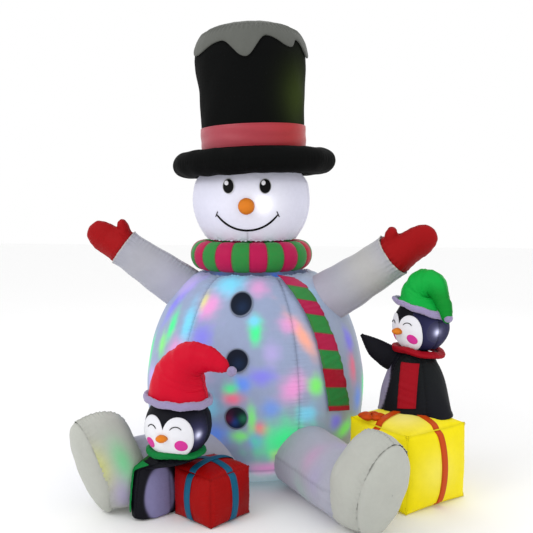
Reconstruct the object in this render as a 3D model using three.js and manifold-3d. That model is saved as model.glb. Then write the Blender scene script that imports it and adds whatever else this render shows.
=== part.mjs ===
// Inflatable yard snowman: a seated cloth figure blown up by a fan, with a top hat, a striped scarf,
// two small penguins and two gift boxes. Millimetres, +Z up. The origin is on the ground, on the body's
// axis. The figure faces -Y, so its own right hand is on the -X side and its left hand on the +X side.
import * as THREE from "three";
import { mergeVertices } from "three/addons/utils/BufferGeometryUtils.js";
import Module from "manifold-3d";

const wasm = await Module();
wasm.setup();

// ---- Driving dimensions -------------------------------------------------------------------------
const CLOTH = 3; // wall of the inflated cloth
const GAP = 0.4; // clearance that neighbouring pieces keep
const PATCH = 2.5; // thickness of a sewn-on patch
const FAR = 700; // reach of a cutting tool

// Outlines run from the bottom up as [radius, height].
const BODY_OUTLINE = [
  [280, 0], [346, 17], [408, 76], [442, 168], [455, 310], [450, 410],
  [425, 530], [376, 650], [320, 730], [266, 780], [222, 797],
];
const BODY_SIDES = 28;
const BODY_STEPS = 9;
const HEAD_OUTLINE = [[186, 925], [220, 978], [240, 1036], [245, 1090], [238, 1150], [225, 1178], [207, 1198]];
const HEAD_SIDES = 20;
const NECK_SHIFT = -18; // the neck and head sit this far to the figure's right of the body's axis
const HEAD_TURN = 5; // degrees that the face is turned towards +X
const COLLAR = { radius: 203, height: 862, reach: 50, rise: 60 };
const HAT = { x: -5, height: 1236, tilt: -2 };
const BRIM = { radius: 274, reach: 61, rise: 52 };
const CROWN_OUTLINE = [
  [210, 22], [211, 65], [213, 150], [220, 290], [228, 390], [229, 425], [219, 474], [184, 518], [106, 545], [0, 553],
];
// The lower edge of the snow on the crown as [azimuth, height]: tips and the notches between them.
const SNOW_EDGE = [
  [-92, 466], [-56, 424], [-20, 458], [4, 392], [25, 470], [52, 432], [61, 464], [84, 408],
  [112, 466], [142, 420], [176, 464], [206, 410], [236, 458],
];
const CROWN_SIDES = 22;
const BAND = { low: 58, high: 144 };
const BUTTON = { radius: 45, heights: { button_upper: 699, button_middle: 504, button_lower: 299 } };
const EYE = { spread: 70, height: 1139, width: 42, tall: 54 };
const NOSE = { height: 1063, radius: 33, length: 34 };
const MOUTH = { height: 1113, radius: 144, halfAngle: 56, line: 8 };
const TAIL = { azimuth: 46, width: 112, top: 788, bottom: 296, slant: 72 };
const ZIP = { height: 302, width: 26, start: 118, end: 152, slider: 16, puller: 34 };

const ARMS = {
  right: { path: [[-180, -30, 640], [-398, -50, 782], [-544, -80, 892]], start: 96, end: 71, hand: 168 },
  left: { path: [[180, -50, 622], [402, -104, 752], [562, -160, 876]], start: 104, end: 78, hand: 190 },
};
const MITTEN = { radius: 64, flatness: 0.62, shift: 14, thumb: { out: 66, along: 45, length: 55, lean: 30 } };
const LEGS = {
  right: { foot: [-437, -655], splay: -47, hip: [-40, -285] },
  left: { foot: [500, -728], splay: 41, hip: [214, -290] },
};
const LEG = { radius: 112, height: 126, hip: 1.12 }; // hip: how much wider it is at the body
const FOOT_OUTLINE = [[0, 0], [72, 5], [97, 30], [104, 78], [101, 125], [92, 166]];
const SOLE_OUTLINE = [[92, 169], [82, 189], [52, 205], [0, 212]];
const FOOT = { height: 173, stretch: 1.72, depth: 212, behind: 0.62, lean: 0.3 };

const RED_GIFT = { width: 190, height: 172, corner: 16, ribbon: 30, x: -58, y: -606, turn: 55 };
const YELLOW_GIFT = { width: 306, height: 288, corner: 22, ribbon: 32, x: 617, y: -322, turn: 43 };

const FAN = {
  height: 176, radius: 70, flange: 92, wall: 4, // the round duct through the body, and its flange outside
  inside: 318, outside: 446, // where the duct ends, as distances behind the body's axis
  hub: 24, strut: 8, motor: 42, shaft: 4, clearance: 0.5,
  blades: 7, bladeDepth: 28, bladePitch: 38,
  gland: { x: -54, z: -54, radius: 9, bore: 4, length: 26 },
};
const PROJECTOR = { radius: 46, height: 58 };

const COLOURS = {
  body: 0x9aa6c6, head: 0xe4e4ec, black: 0x101112, snow: 0x74766f, band: 0xc8303c, magenta: 0xd02868,
  green: 0x12a040, red: 0xa81218, navy: 0x1a2234, orange: 0xf08a28, foot: 0xb0b2a8, sole: 0xb8bab4,
  hatRed: 0xe00838, hatGreen: 0x18b848, lilac: 0xb6aed2, penguin: 0x1a1a24, white: 0xf2f2f8,
  giftRed: 0xc80c10, giftYellow: 0xf6e410, ribbonBlue: 0x14688c, ribbonOrange: 0xe05008,
  plastic: 0x202226, steel: 0x9a9da2, lens: 0xe8eef4,
};

// ---- Geometry helpers ---------------------------------------------------------------------------
const radians = THREE.MathUtils.degToRad;
const pairs = (list) => list.map(([x, y]) => new THREE.Vector2(x, y));
const vector = ([x, y, z]) => new THREE.Vector3(x, y, z);

/** The closed solid of a geometry, with shared corners merged and its faces turned outwards. */
function solidOf(geometry) {
  const bare = new THREE.BufferGeometry();
  bare.setAttribute("position", (geometry.index ? geometry.toNonIndexed() : geometry).getAttribute("position"));
  const merged = mergeVertices(bare, 1e-3);
  const points = merged.getAttribute("position");
  const corner = [0, 1, 2].map(() => new THREE.Vector3());
  const faces = [];
  let volume = 0;
  for (let i = 0; i < merged.index.count; i += 3) {
    const face = [0, 1, 2].map((k) => merged.index.getX(i + k));
    if (new Set(face).size < 3) continue;
    corner.forEach((c, k) => c.fromBufferAttribute(points, face[k]));
    volume += corner[0].dot(corner[1].clone().cross(corner[2]));
    faces.push(face);
  }
  if (volume < 0) faces.forEach((face) => face.reverse());
  const vertProperties = new Float32Array(points.array);
  return new wasm.Manifold(new wasm.Mesh({ numProp: 3, vertProperties, triVerts: new Uint32Array(faces.flat()) }));
}

/** The geometry of a solid. */
function geometryOf(solid) {
  const mesh = solid.getMesh();
  const geometry = new THREE.BufferGeometry();
  geometry.setAttribute("position", new THREE.BufferAttribute(new Float32Array(mesh.vertProperties), 3));
  geometry.setIndex(new THREE.BufferAttribute(new Uint32Array(mesh.triVerts), 1));
  geometry.computeVertexNormals();
  return geometry;
}

/** Evenly spread points on a smooth curve through an outline's corners. */
function smooth(outline, steps) {
  return new THREE.SplineCurve(pairs(outline)).getPoints(steps);
}

/** An outline moved outwards by a distance; a point on the axis stays on it. */
function offset(outline, distance) {
  return outline.map((point, i) => {
    const before = outline[Math.max(i - 1, 0)];
    const after = outline[Math.min(i + 1, outline.length - 1)];
    const along = after.clone().sub(before).normalize();
    const moved = point.clone().add(new THREE.Vector2(along.y, -along.x).multiplyScalar(distance));
    return point.x < 1e-6 ? new THREE.Vector2(0, point.y + Math.sign(-along.x) * distance) : moved;
  });
}

/** A geometry of revolution about +Z. Its first column of corners lies towards -Y. */
function revolve(outline, sides) {
  return new THREE.LatheGeometry(outline, sides).rotateX(Math.PI / 2);
}

/** A full solid of revolution inside an outline. */
function revolvedSolid(outline, sides) {
  const ends = [new THREE.Vector2(0, outline[0].y), new THREE.Vector2(0, outline.at(-1).y)];
  const first = outline[0].x < 1e-6 ? [] : [ends[0]];
  const last = outline.at(-1).x < 1e-6 ? [] : [ends[1]];
  return revolve([...first, ...outline, ...last], sides);
}

/** A cloth wall inside an outline. It is open at each end of the outline that is off the axis. */
function clothWall(outline, sides, wall = CLOTH) {
  const inner = offset(outline, -wall);
  if (outline[0].x < 1e-6) return revolve([...outline, ...inner.reverse()], sides);
  if (outline.at(-1).x < 1e-6) return revolve([...[...outline].reverse(), ...inner], sides);
  return revolve([...outline, ...inner.reverse(), outline[0]], sides);
}

/** A layer of cloth that lies on an outline's outside, cut to the part inside a tool. */
function appliqueOn(outline, sides, tool, thickness = PATCH) {
  return solidOf(clothWall(offset(outline, GAP + thickness), sides, thickness)).intersect(tool);
}

/** Bends a geometry, whose length runs along +Z from 0, onto a path. */
function bend(geometry, path, length, upright = [0, 0, 1], stretch = 1) {
  const points = geometry.getAttribute("position");
  for (let i = 0; i < points.count; i++) {
    const u = THREE.MathUtils.clamp(points.getZ(i) / length, 0, 1);
    const along = path.getTangentAt(u);
    const side = new THREE.Vector3().crossVectors(along, vector(upright)).normalize();
    const up = new THREE.Vector3().crossVectors(side, along);
    const moved = path.getPointAt(u).addScaledVector(along, points.getZ(i) - u * length);
    moved.addScaledVector(side, points.getX(i)).addScaledVector(up, points.getY(i) * stretch);
    points.setXYZ(i, moved.x, moved.y, moved.z);
  }
  return geometry;
}

/** A cylinder along -Y at a height, turned about the Z axis. */
function forwardCylinder(radius, height, turn = 0, wide = 1, tall = 1, sides = 20) {
  const tool = new THREE.CylinderGeometry(radius, radius, FAR, sides).translate(0, -FAR / 2, 0);
  return tool.scale(wide, 1, tall).translate(0, 0, height).rotateZ(radians(turn));
}

/** A box from its lowest to its highest corner. */
function boxBetween(low, high) {
  const size = high.map((value, i) => value - low[i]);
  return new THREE.BoxGeometry(...size).translate(...low.map((value, i) => value + size[i] / 2));
}

/** A flat outline in X and Z, as thick as depth, that reaches from y = 0 towards -Y. */
function forwardExtrude(shape, depth = FAR) {
  return new THREE.ExtrudeGeometry(shape, { depth, bevelEnabled: false, curveSegments: 10 }).rotateX(Math.PI / 2);
}

/** Presses the part of a geometry below a band flat onto the ground. */
function pressOntoGround(geometry, band = 45) {
  geometry.computeBoundingBox();
  const lowest = geometry.boundingBox.min.z;
  const points = geometry.getAttribute("position");
  for (let i = 0; i < points.count; i++) {
    const z = points.getZ(i);
    if (z < band) points.setZ(i, (band * (z - lowest)) / (band - lowest) + GAP / 2);
  }
  return geometry;
}

/** A copy of a world-frame geometry, moved into a group's own frame. */
function inFrameOf(group, geometry) {
  group.updateWorldMatrix(true, false);
  return geometry.clone().applyMatrix4(group.matrixWorld.clone().invert());
}

/** A geometry in a group's own frame, moved into the world frame. */
function worldOf(group, geometry) {
  group.updateWorldMatrix(true, false);
  return geometry.applyMatrix4(group.matrixWorld);
}

function cloth(colour, roughness = 0.75) {
  return new THREE.MeshStandardMaterial({ color: COLOURS[colour], roughness, metalness: 0 });
}

function add(group, name, shape, material) {
  const solid = shape instanceof THREE.BufferGeometry ? solidOf(shape) : shape;
  const mesh = new THREE.Mesh(geometryOf(solid), material);
  mesh.name = name;
  group.add(mesh);
  return mesh;
}

// ---- Shared outlines ----------------------------------------------------------------------------
const bodyOutline = smooth(BODY_OUTLINE, BODY_STEPS);
const bodySolid = (distance) => solidOf(revolvedSolid(offset(bodyOutline, distance), BODY_SIDES));
const headOutline = smooth(HEAD_OUTLINE, 6);
const crownOutline = smooth(CROWN_OUTLINE, 8);

const snowman = new THREE.Group();

// ---- Arms, mittens, legs and feet ---------------------------------------------------------------
const SIDES = { right: -1, left: 1 };

/** A tapering cloth tube along a path, open at both ends, or the full solid that it bounds. */
function limb(path, start, end, sides, steps, full = false) {
  const length = path.getLength();
  const outer = Array.from({ length: steps + 1 }, (_, i) => {
    const share = i / steps;
    return new THREE.Vector2(THREE.MathUtils.lerp(start, end, share), share * length);
  });
  const made = full ? revolvedSolid(outer, sides) : clothWall(outer, sides);
  return bend(made, path, length);
}

function armPath(side) {
  return new THREE.QuadraticBezierCurve3(...ARMS[side].path.map(vector));
}

function arm(side) {
  const { start, end } = ARMS[side];
  return solidOf(limb(armPath(side), start, end, 16, 4)).subtract(bodySolid(GAP));
}

/** One mitten in its own frame: +Z from wrist to fingertips, +X on the thumb's side. */
function mittenSolid(hand, cuff, inset) {
  const r = MITTEN.radius - inset;
  const l = hand - inset;
  const outline = [[cuff - inset, 0], [r, l * 0.34], [r * 0.93, l * 0.62], [r * 0.6, l * 0.9], [0, l]];
  const palm = revolvedSolid(smooth(outline, 6), 14);
  const points = palm.getAttribute("position");
  for (let i = 0; i < points.count; i++) {
    const share = THREE.MathUtils.clamp(points.getZ(i) / (l * 0.5), 0, 1);
    points.setY(i, points.getY(i) * THREE.MathUtils.lerp(1, MITTEN.flatness, share));
    points.setX(i, points.getX(i) - MITTEN.shift * share);
  }
  const { out, along, length, lean } = MITTEN.thumb;
  const thumb = new THREE.SphereGeometry(1, 10, 7).scale(24 - inset, 22 - inset, length - inset);
  thumb.rotateY(radians(lean)).translate(out, 0, along);
  return solidOf(palm).add(solidOf(thumb));
}

function mitten(side) {
  const path = armPath(side);
  const group = new THREE.Group();
  const along = path.getTangentAt(1);
  const thumbSide = new THREE.Vector3(-SIDES[side], 0, 0).addScaledVector(along, SIDES[side] * along.x).normalize();
  const across = new THREE.Vector3().crossVectors(along, thumbSide);
  group.matrix.makeBasis(thumbSide, across, along).setPosition(path.getPointAt(1).addScaledVector(along, GAP));
  group.matrix.decompose(group.position, group.quaternion, group.scale);
  const { hand, end: cuff } = ARMS[side];
  const mouth = solidOf(new THREE.CylinderGeometry(cuff - CLOTH, cuff - CLOTH, 20, 16).rotateX(Math.PI / 2));
  const belowWrist = solidOf(boxBetween([-FAR, -FAR, -FAR], [FAR, FAR, 0]));
  const shape = mittenSolid(hand, cuff, 0)
    .subtract(mittenSolid(hand, cuff, CLOTH))
    .subtract(mouth)
    .subtract(belowWrist);
  add(group, `${side}_mitten`, shape, cloth("red"));
  return group;
}

/** The line through a foot, from its heel side to the tip of its sole. */
function footPath(side) {
  const { foot, splay } = LEGS[side];
  const along = new THREE.Vector3(Math.sin(radians(splay)), -Math.cos(radians(splay)), 0);
  const start = new THREE.Vector3(foot[0], foot[1], FOOT.height).addScaledVector(along, -FOOT.depth * FOOT.behind);
  return new THREE.LineCurve3(start, start.clone().addScaledVector(along, FOOT.depth));
}

/** The straight line of a leg, from inside the body to just inside the foot. */
function legPath(side) {
  const { hip } = LEGS[side];
  const ankle = footPath(side).getPointAt(0.2).setZ(LEG.height);
  return new THREE.LineCurve3(new THREE.Vector3(hip[0], hip[1], LEG.height), ankle);
}

/** A foot or its sole: upright ovals along the foot's line, pressed flat below, with the top leaning outwards. */
function footShape(side, outline, full, distance = 0) {
  const made = full ? revolvedSolid(offset(outline, distance), 18) : clothWall(outline, 18);
  const shape = pressOntoGround(bend(made, footPath(side), FOOT.depth, [0, 0, 1], FOOT.stretch));
  const along = footPath(side).getTangentAt(0);
  const lean = new THREE.Matrix4().set(
    1, 0, along.x * FOOT.lean, -along.x * FOOT.lean * FOOT.height,
    0, 1, along.y * FOOT.lean, -along.y * FOOT.lean * FOOT.height,
    0, 0, 1, 0,
    0, 0, 0, 1,
  );
  return shape.applyMatrix4(lean);
}

function buildLimbs(group) {
  for (const side of ["right", "left"]) {
    add(group, `${side}_arm`, arm(side), cloth("body"));
    group.add(mitten(side));
    const foot = smooth(FOOT_OUTLINE, 6);
    const sole = smooth(SOLE_OUTLINE, 3);
    const port = solidOf(limb(legPath(side), 60, 60, 12, 1, true));
    const leg = solidOf(limb(legPath(side), LEG.radius * LEG.hip, LEG.radius, 16, 2))
      .subtract(bodySolid(GAP))
      .subtract(solidOf(footShape(side, foot, true, GAP)));
    add(group, `${side}_leg`, leg, cloth("body"));
    add(group, `${side}_foot`, solidOf(footShape(side, foot, false)).subtract(port), cloth("foot"));
    add(group, `${side}_sole`, footShape(side, sole, false), cloth("sole"));
  }
}

// ---- Body ---------------------------------------------------------------------------------------
/** The holes in the body that let air into the arms and legs and that take the fan's housing. */
function bodyPorts() {
  const fan = new THREE.CylinderGeometry(FAN.radius + 1, FAN.radius + 1, FAR, 20).translate(0, FAR / 2, 0);
  let ports = solidOf(fan.translate(0, 0, FAN.height));
  for (const side of ["right", "left"]) {
    ports = ports.add(solidOf(limb(armPath(side), 62, 50, 10, 2, true)));
    ports = ports.add(solidOf(limb(legPath(side), 70, 70, 10, 1, true)));
  }
  return ports;
}

function buildBody(group) {
  add(group, "body_shell", solidOf(clothWall(bodyOutline, BODY_SIDES)).subtract(bodyPorts()), cloth("body"));
  const panel = new THREE.CylinderGeometry(BODY_OUTLINE[0][0] - 3, BODY_OUTLINE[0][0] - 3, CLOTH, BODY_SIDES);
  add(group, "base_panel", panel.rotateX(Math.PI / 2).translate(0, 0, CLOTH / 2), cloth("body"));
  for (const [name, height] of Object.entries(BUTTON.heights)) {
    const tool = solidOf(forwardCylinder(BUTTON.radius, height));
    add(group, name, appliqueOn(bodyOutline, BODY_SIDES, tool), cloth("navy"));
  }
}

/** The loose end of the scarf: a strip that lies down the body's front from under the collar. */
function scarfTail() {
  const { width, top, bottom, slant } = TAIL;
  const shape = new THREE.Shape();
  shape.moveTo(-width / 2 - slant / 2, top);
  shape.quadraticCurveTo(-width / 2 + slant / 3, (top + bottom) / 2, -width / 2 + slant / 2, bottom);
  shape.lineTo(width / 2 + slant / 2, bottom);
  shape.quadraticCurveTo(width / 2 + slant / 3, (top + bottom) / 2, width / 2 - slant / 2, top);
  const tool = solidOf(forwardExtrude(shape).rotateZ(radians(TAIL.azimuth)));
  return appliqueOn(offset(bodyOutline, 1.5), BODY_SIDES, tool, CLOTH + 1);
}

/** A puffed ring: an open curl of cloth about the axis, with its mouth towards the axis. */
function puffedRing({ radius, reach, rise }, height, sides) {
  const arc = Array.from({ length: 8 }, (_, i) => {
    const angle = radians(-126 + (252 * i) / 7);
    return new THREE.Vector2(radius + reach * Math.cos(angle), height + rise * Math.sin(angle));
  });
  return clothWall(arc, sides);
}

function buildScarf(group) {
  const collar = puffedRing(COLLAR, COLLAR.height, 24).translate(NECK_SHIFT, 0, 0);
  add(group, "neck_scarf_ring", collar, cloth("magenta"));
  add(group, "scarf_tail", scarfTail(), cloth("green"));
}

// ---- Zip at the back ----------------------------------------------------------------------------
function buildZip(group) {
  const middle = (ZIP.start + ZIP.end) / 2;
  const chord = 2 * BODY_OUTLINE[4][0] * Math.sin(radians(ZIP.end - middle));
  const box = boxBetween([-chord / 2, -FAR, ZIP.height - ZIP.width / 2], [chord / 2, 0, ZIP.height + ZIP.width / 2]);
  const tape = appliqueOn(bodyOutline, BODY_SIDES, solidOf(box.rotateZ(radians(middle))), 2);
  add(group, "zip_tape", tape, cloth("black"));
  const radius = BODY_OUTLINE[4][0] + 4;
  const { slider: size, puller: drop } = ZIP;
  const slider = boxBetween([-size / 2, -radius - 6, ZIP.height - 9], [size / 2, -radius, ZIP.height + 9]);
  const puller = boxBetween([-size / 4, -radius - 8, ZIP.height - drop], [size / 4, -radius - 5.5, ZIP.height + 4]);
  const joined = solidOf(slider.rotateZ(radians(ZIP.start + 3))).add(solidOf(puller.rotateZ(radians(ZIP.start + 3))));
  const steel = new THREE.MeshStandardMaterial({ color: COLOURS.steel, roughness: 0.4, metalness: 0.8 });
  add(group, "zip_slider", joined, steel);
}

// ---- Head ---------------------------------------------------------------------------------------
function mouthTool() {
  const { height, radius, halfAngle, line } = MOUTH;
  const [from, to] = [radians(-90 - halfAngle), radians(-90 + halfAngle)];
  const shape = new THREE.Shape();
  shape.absarc(0, height, radius + line / 2, from, to, false);
  shape.absarc(0, height, radius - line / 2, to, from, true);
  return forwardExtrude(shape);
}

function buildHead(group) {
  group.position.set(NECK_SHIFT, 0, 0);
  group.rotation.z = radians(HEAD_TURN);
  const patch = (tool) => appliqueOn(headOutline, HEAD_SIDES, solidOf(tool));
  add(group, "head_shell", clothWall(headOutline, HEAD_SIDES), cloth("head"));
  for (const [side, sign] of Object.entries(SIDES)) {
    const tool = forwardCylinder(0.5, 0, 0, EYE.width, EYE.tall, 18).translate(sign * EYE.spread, 0, EYE.height);
    add(group, `${side}_eye`, patch(tool), cloth("black", 0.5));
  }
  add(group, "mouth", patch(mouthTool()), cloth("black", 0.5));
  const nose = new THREE.SphereGeometry(1, 16, 12).scale(NOSE.radius, NOSE.length, NOSE.radius);
  nose.translate(0, -HEAD_OUTLINE[3][0] - NOSE.length * 0.25, NOSE.height);
  const headSolid = solidOf(revolvedSolid(offset(headOutline, GAP), HEAD_SIDES));
  add(group, "nose", solidOf(nose).subtract(headSolid), cloth("orange"));
  add(group, "head_lamp", lamp(HEAD_OUTLINE[3][0] - CLOTH, NOSE.height + 4, 12), lampMaterial());
}

/** A lamp inside the cloth, at a radius, a height and an angle: a round socket with its bulb. */
function lamp(radius, height, turn) {
  const socket = new THREE.CylinderGeometry(14, 14, 8, 12).translate(0, -radius + 14, height);
  const bulb = new THREE.SphereGeometry(9, 8, 6).translate(0, -radius + 22, height);
  return solidOf(socket.rotateZ(radians(turn))).add(solidOf(bulb.rotateZ(radians(turn))));
}

function lampMaterial() {
  return new THREE.MeshStandardMaterial({ color: COLOURS.lens, roughness: 0.2, metalness: 0 });
}

// ---- Hat ----------------------------------------------------------------------------------------
/** The solid above the snow's lower edge: that edge drawn out from the axis, and everything over it. */
function aboveSnowEdge() {
  const around = [...SNOW_EDGE, [SNOW_EDGE[0][0] + 360, SNOW_EDGE[0][1]]];
  const corners = [];
  around.slice(1).forEach(([azimuth, height], i) => {
    const [before, low] = around[i];
    const steps = Math.ceil((azimuth - before) / 8);
    for (let k = 0; k < steps; k++) {
      const eased = (1 - Math.cos((Math.PI * k) / steps)) / 2;
      corners.push([before + ((azimuth - before) * k) / steps, low + (height - low) * eased]);
    }
  });
  const ring = (radius, heightOf) => corners.map(([azimuth, height]) => {
    const angle = radians(azimuth);
    return [radius * Math.sin(angle), -radius * Math.cos(angle), heightOf(height)];
  });
  const inside = CROWN_OUTLINE[5][0] / 2;
  const middle = SNOW_EDGE[0][1];
  const rings = [ring(inside, (z) => z), ring(FAR, (z) => z), ring(FAR, () => FAR)];
  const count = corners.length;
  const faces = [];
  for (let i = 0; i < count; i++) {
    const next = (i + 1) % count;
    faces.push([3 * count, next, i], [3 * count + 1, 2 * count + i, 2 * count + next]);
    for (const row of [0, count]) {
      faces.push([row + i, row + next, row + count + next], [row + i, row + count + next, row + count + i]);
    }
  }
  const geometry = new THREE.BufferGeometry();
  const points = [...rings.flat(), [0, 0, middle], [0, 0, FAR]];
  geometry.setAttribute("position", new THREE.Float32BufferAttribute(points.flat(), 3));
  geometry.setIndex(faces.flat());
  return solidOf(geometry);
}

function snowCap() {
  return appliqueOn(crownOutline, CROWN_SIDES, aboveSnowEdge());
}

function buildHat(group) {
  group.position.set(HAT.x, 0, HAT.height);
  group.rotation.y = radians(HAT.tilt);
  add(group, "hat_brim", puffedRing(BRIM, 0, CROWN_SIDES), cloth("black"));
  add(group, "hat_crown", clothWall(crownOutline, CROWN_SIDES), cloth("black"));
  const band = solidOf(boxBetween([-FAR, -FAR, BAND.low], [FAR, FAR, BAND.high]));
  add(group, "hat_band", appliqueOn(crownOutline, CROWN_SIDES, band), cloth("band"));
  add(group, "hat_snow_cap", snowCap(), cloth("snow"));
}

// ---- Gift boxes ---------------------------------------------------------------------------------
/** A box with rounded edges that stands on z = 0, grown by a distance on every side. */
function roundedBox({ width, height, corner }, grow = 0) {
  const half = width / 2 + grow - corner;
  const shape = new THREE.Shape();
  shape.moveTo(-half - corner, -half);
  shape.absarc(-half, half, corner, Math.PI, Math.PI / 2, true);
  shape.absarc(half, half, corner, Math.PI / 2, 0, true);
  shape.absarc(half, -half, corner, 0, -Math.PI / 2, true);
  shape.absarc(-half, -half, corner, -Math.PI / 2, -Math.PI, true);
  const depth = height + 2 * grow - 2 * corner * 0.6;
  const bevel = { bevelEnabled: true, bevelSize: 0, bevelThickness: corner * 0.6, bevelSegments: 1 };
  return new THREE.ExtrudeGeometry(shape, { depth, ...bevel, curveSegments: 3 }).translate(0, 0, corner * 0.6 - grow);
}

function placeGift(group, gift, base = 0) {
  group.position.set(gift.x, gift.y, base);
  group.rotation.z = radians(gift.turn);
}

/** A solid with every neighbour cut out of it; the neighbours are in the world frame. */
function clearOf(solid, group, neighbours) {
  return neighbours.reduce((made, world) => made.subtract(solidOf(inFrameOf(group, world))), solid);
}

function buildGift(group, name, gift, boxColour, ribbonColour, neighbours) {
  const port = new THREE.CylinderGeometry(32, 32, gift.width, 12).translate(0, gift.width / 2, gift.height / 2);
  const wall = solidOf(roundedBox(gift)).subtract(solidOf(roundedBox(gift, -CLOTH))).subtract(solidOf(port));
  add(group, `${name}_box`, clearOf(wall, group, neighbours), cloth(boxColour));
  const layer = solidOf(roundedBox(gift, GAP + PATCH)).subtract(solidOf(roundedBox(gift, GAP)));
  const half = gift.ribbon / 2;
  const cross = solidOf(boxBetween([-half, -FAR, 4], [half, FAR, FAR]))
    .add(solidOf(boxBetween([-FAR, -half, 4], [FAR, half, FAR])));
  add(group, `${name}_ribbon`, clearOf(layer.intersect(cross), group, neighbours), cloth(ribbonColour));
}

// ---- Penguins -----------------------------------------------------------------------------------
const PENGUINS = {
  red_hat: {
    place: [-184, -650], turn: -12,
    body: [[104, 0], [122, 28], [116, 116], [100, 200], [66, 240]],
    head: { radius: 115, height: 331, neck: 66, lean: [22, 0] },
    hat: {
      radius: 98, rise: 86,
      path: [[0, 0, 0], [6, 0, 68], [46, -6, 134], [118, -14, 150], [194, -24, 122]],
    },
    colours: { hat: "hatRed", scarf: "green", body: "penguin" },
    scarfTail: { azimuth: -36, width: 50, low: 30 },
  },
  green_hat: {
    place: [646, -246], turn: -53,
    body: [[126, 0], [136, 24], [118, 110], [92, 186], [62, 232]],
    head: { radius: 105, height: 330, neck: 62, lean: [13, 16] },
    hat: {
      radius: 90, rise: 62,
      path: [[0, 0, 0], [-12, 0, 54], [2, 0, 104], [62, 10, 108], [110, 14, 48], [124, 14, -6]],
    },
    colours: { hat: "hatGreen", scarf: "band", body: "penguin" },
    scarfTail: { azimuth: 38, width: 66, low: 44 },
    wing: [[-44, -58, 190], [-84, -110, 232], [-122, -160, 286]],
  },
};
const PENGUIN_SIDES = 14;

/** The two-lobed face patch, drawn in X and Z about the middle of the head. */
function faceShape(radius) {
  const shape = new THREE.Shape();
  shape.moveTo(0, radius * 0.12);
  shape.bezierCurveTo(radius * 0.1, radius * 0.72, radius * 0.74, radius * 0.62, radius * 0.78, radius * 0.02);
  shape.bezierCurveTo(radius * 0.8, -radius * 0.5, radius * 0.4, -radius * 0.78, 0, -radius * 0.78);
  shape.bezierCurveTo(-radius * 0.4, -radius * 0.78, -radius * 0.8, -radius * 0.5, -radius * 0.78, radius * 0.02);
  shape.bezierCurveTo(-radius * 0.74, radius * 0.62, -radius * 0.1, radius * 0.72, 0, radius * 0.12);
  return shape;
}

/** An arc in the outline plane, from one angle above the level to another. */
function arcOutline(radius, height, from, to, steps) {
  return Array.from({ length: steps + 1 }, (_, i) => {
    const angle = radians(from + ((to - from) * i) / steps);
    const x = i === steps && to === 90 ? 0 : radius * Math.cos(angle);
    return new THREE.Vector2(x, height + radius * Math.sin(angle));
  });
}

/** A penguin's head: round below, and narrower above, where the hat takes it in. */
function headOutlineOf({ radius, neck }) {
  const neckAngle = -THREE.MathUtils.radToDeg(Math.acos(neck / radius));
  const crown = [[0.95, 0.3], [0.8, 0.62], [0.62, 0.87], [0.33, 1.05], [0, 1.1]];
  return [...arcOutline(radius, 0, neckAngle, 0, 4), ...pairs(crown.map(([x, y]) => [x * radius, y * radius]))];
}

const largest = (solid) => solid.decompose().sort((a, b) => b.volume() - a.volume())[0];

/** One penguin in its own frame: its feet on z = 0, looking towards -Y. */
function buildPenguin(group, name, plan, base, neighbours) {
  group.position.set(...plan.place, base);
  group.rotation.z = radians(plan.turn);
  const label = `${name}_penguin`;
  const { height, neck, lean } = plan.head;
  const outline = [new THREE.Vector2(0, 0), ...smooth(plan.body, 6)];
  const headLine = headOutlineOf(plan.head);
  const head = new THREE.Group();
  head.position.set(...lean, height);
  group.add(head);
  const bodyAround = worldOf(group, revolvedSolid(offset(outline, GAP), PENGUIN_SIDES));
  const headAround = worldOf(head, revolvedSolid(offset(headLine, 2 * GAP + PATCH), PENGUIN_SIDES));

  const body = solidOf(clothWall(outline, PENGUIN_SIDES));
  add(group, `${label}_body`, clearOf(body, group, neighbours), cloth(plan.colours.body));
  buildPenguinHead(head, label, plan, headLine, [bodyAround, ...neighbours]);
  buildPenguinHat(head, label, plan, headAround);

  const scarf = new THREE.TorusGeometry(neck + 26, 15, 8, PENGUIN_SIDES).rotateZ(Math.PI / 2);
  scarf.translate(lean[0] / 2, lean[1] / 2, plan.body.at(-1)[1] + 2);
  const roll = clearOf(solidOf(scarf), group, [bodyAround, headAround, ...neighbours]);
  add(group, `${label}_scarf`, largest(roll), cloth(plan.colours.scarf));
  const { azimuth, width, low } = plan.scarfTail;
  const strip = boxBetween([-width / 2, -FAR, low], [width / 2, 0, plan.body.at(-1)[1] - 34]);
  const tail = appliqueOn(offset(outline, 1), PENGUIN_SIDES, solidOf(strip.rotateZ(radians(azimuth))), CLOTH);
  add(group, `${label}_scarf_tail`, largest(clearOf(tail, group, neighbours)), cloth(plan.colours.scarf));
  if (plan.wing) {
    const path = new THREE.CatmullRomCurve3(plan.wing.map(vector));
    const flat = revolvedSolid(smooth([[40, 0], [42, 34], [26, 84], [0, 112]], 5), 12);
    const flap = solidOf(bend(flat, path, 112, [-0.8, 0.6, 0], 0.4)).subtract(solidOf(scarf));
    add(group, `${label}_wing`, largest(clearOf(flap, group, [bodyAround])), cloth(plan.colours.body));
  }
}

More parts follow.
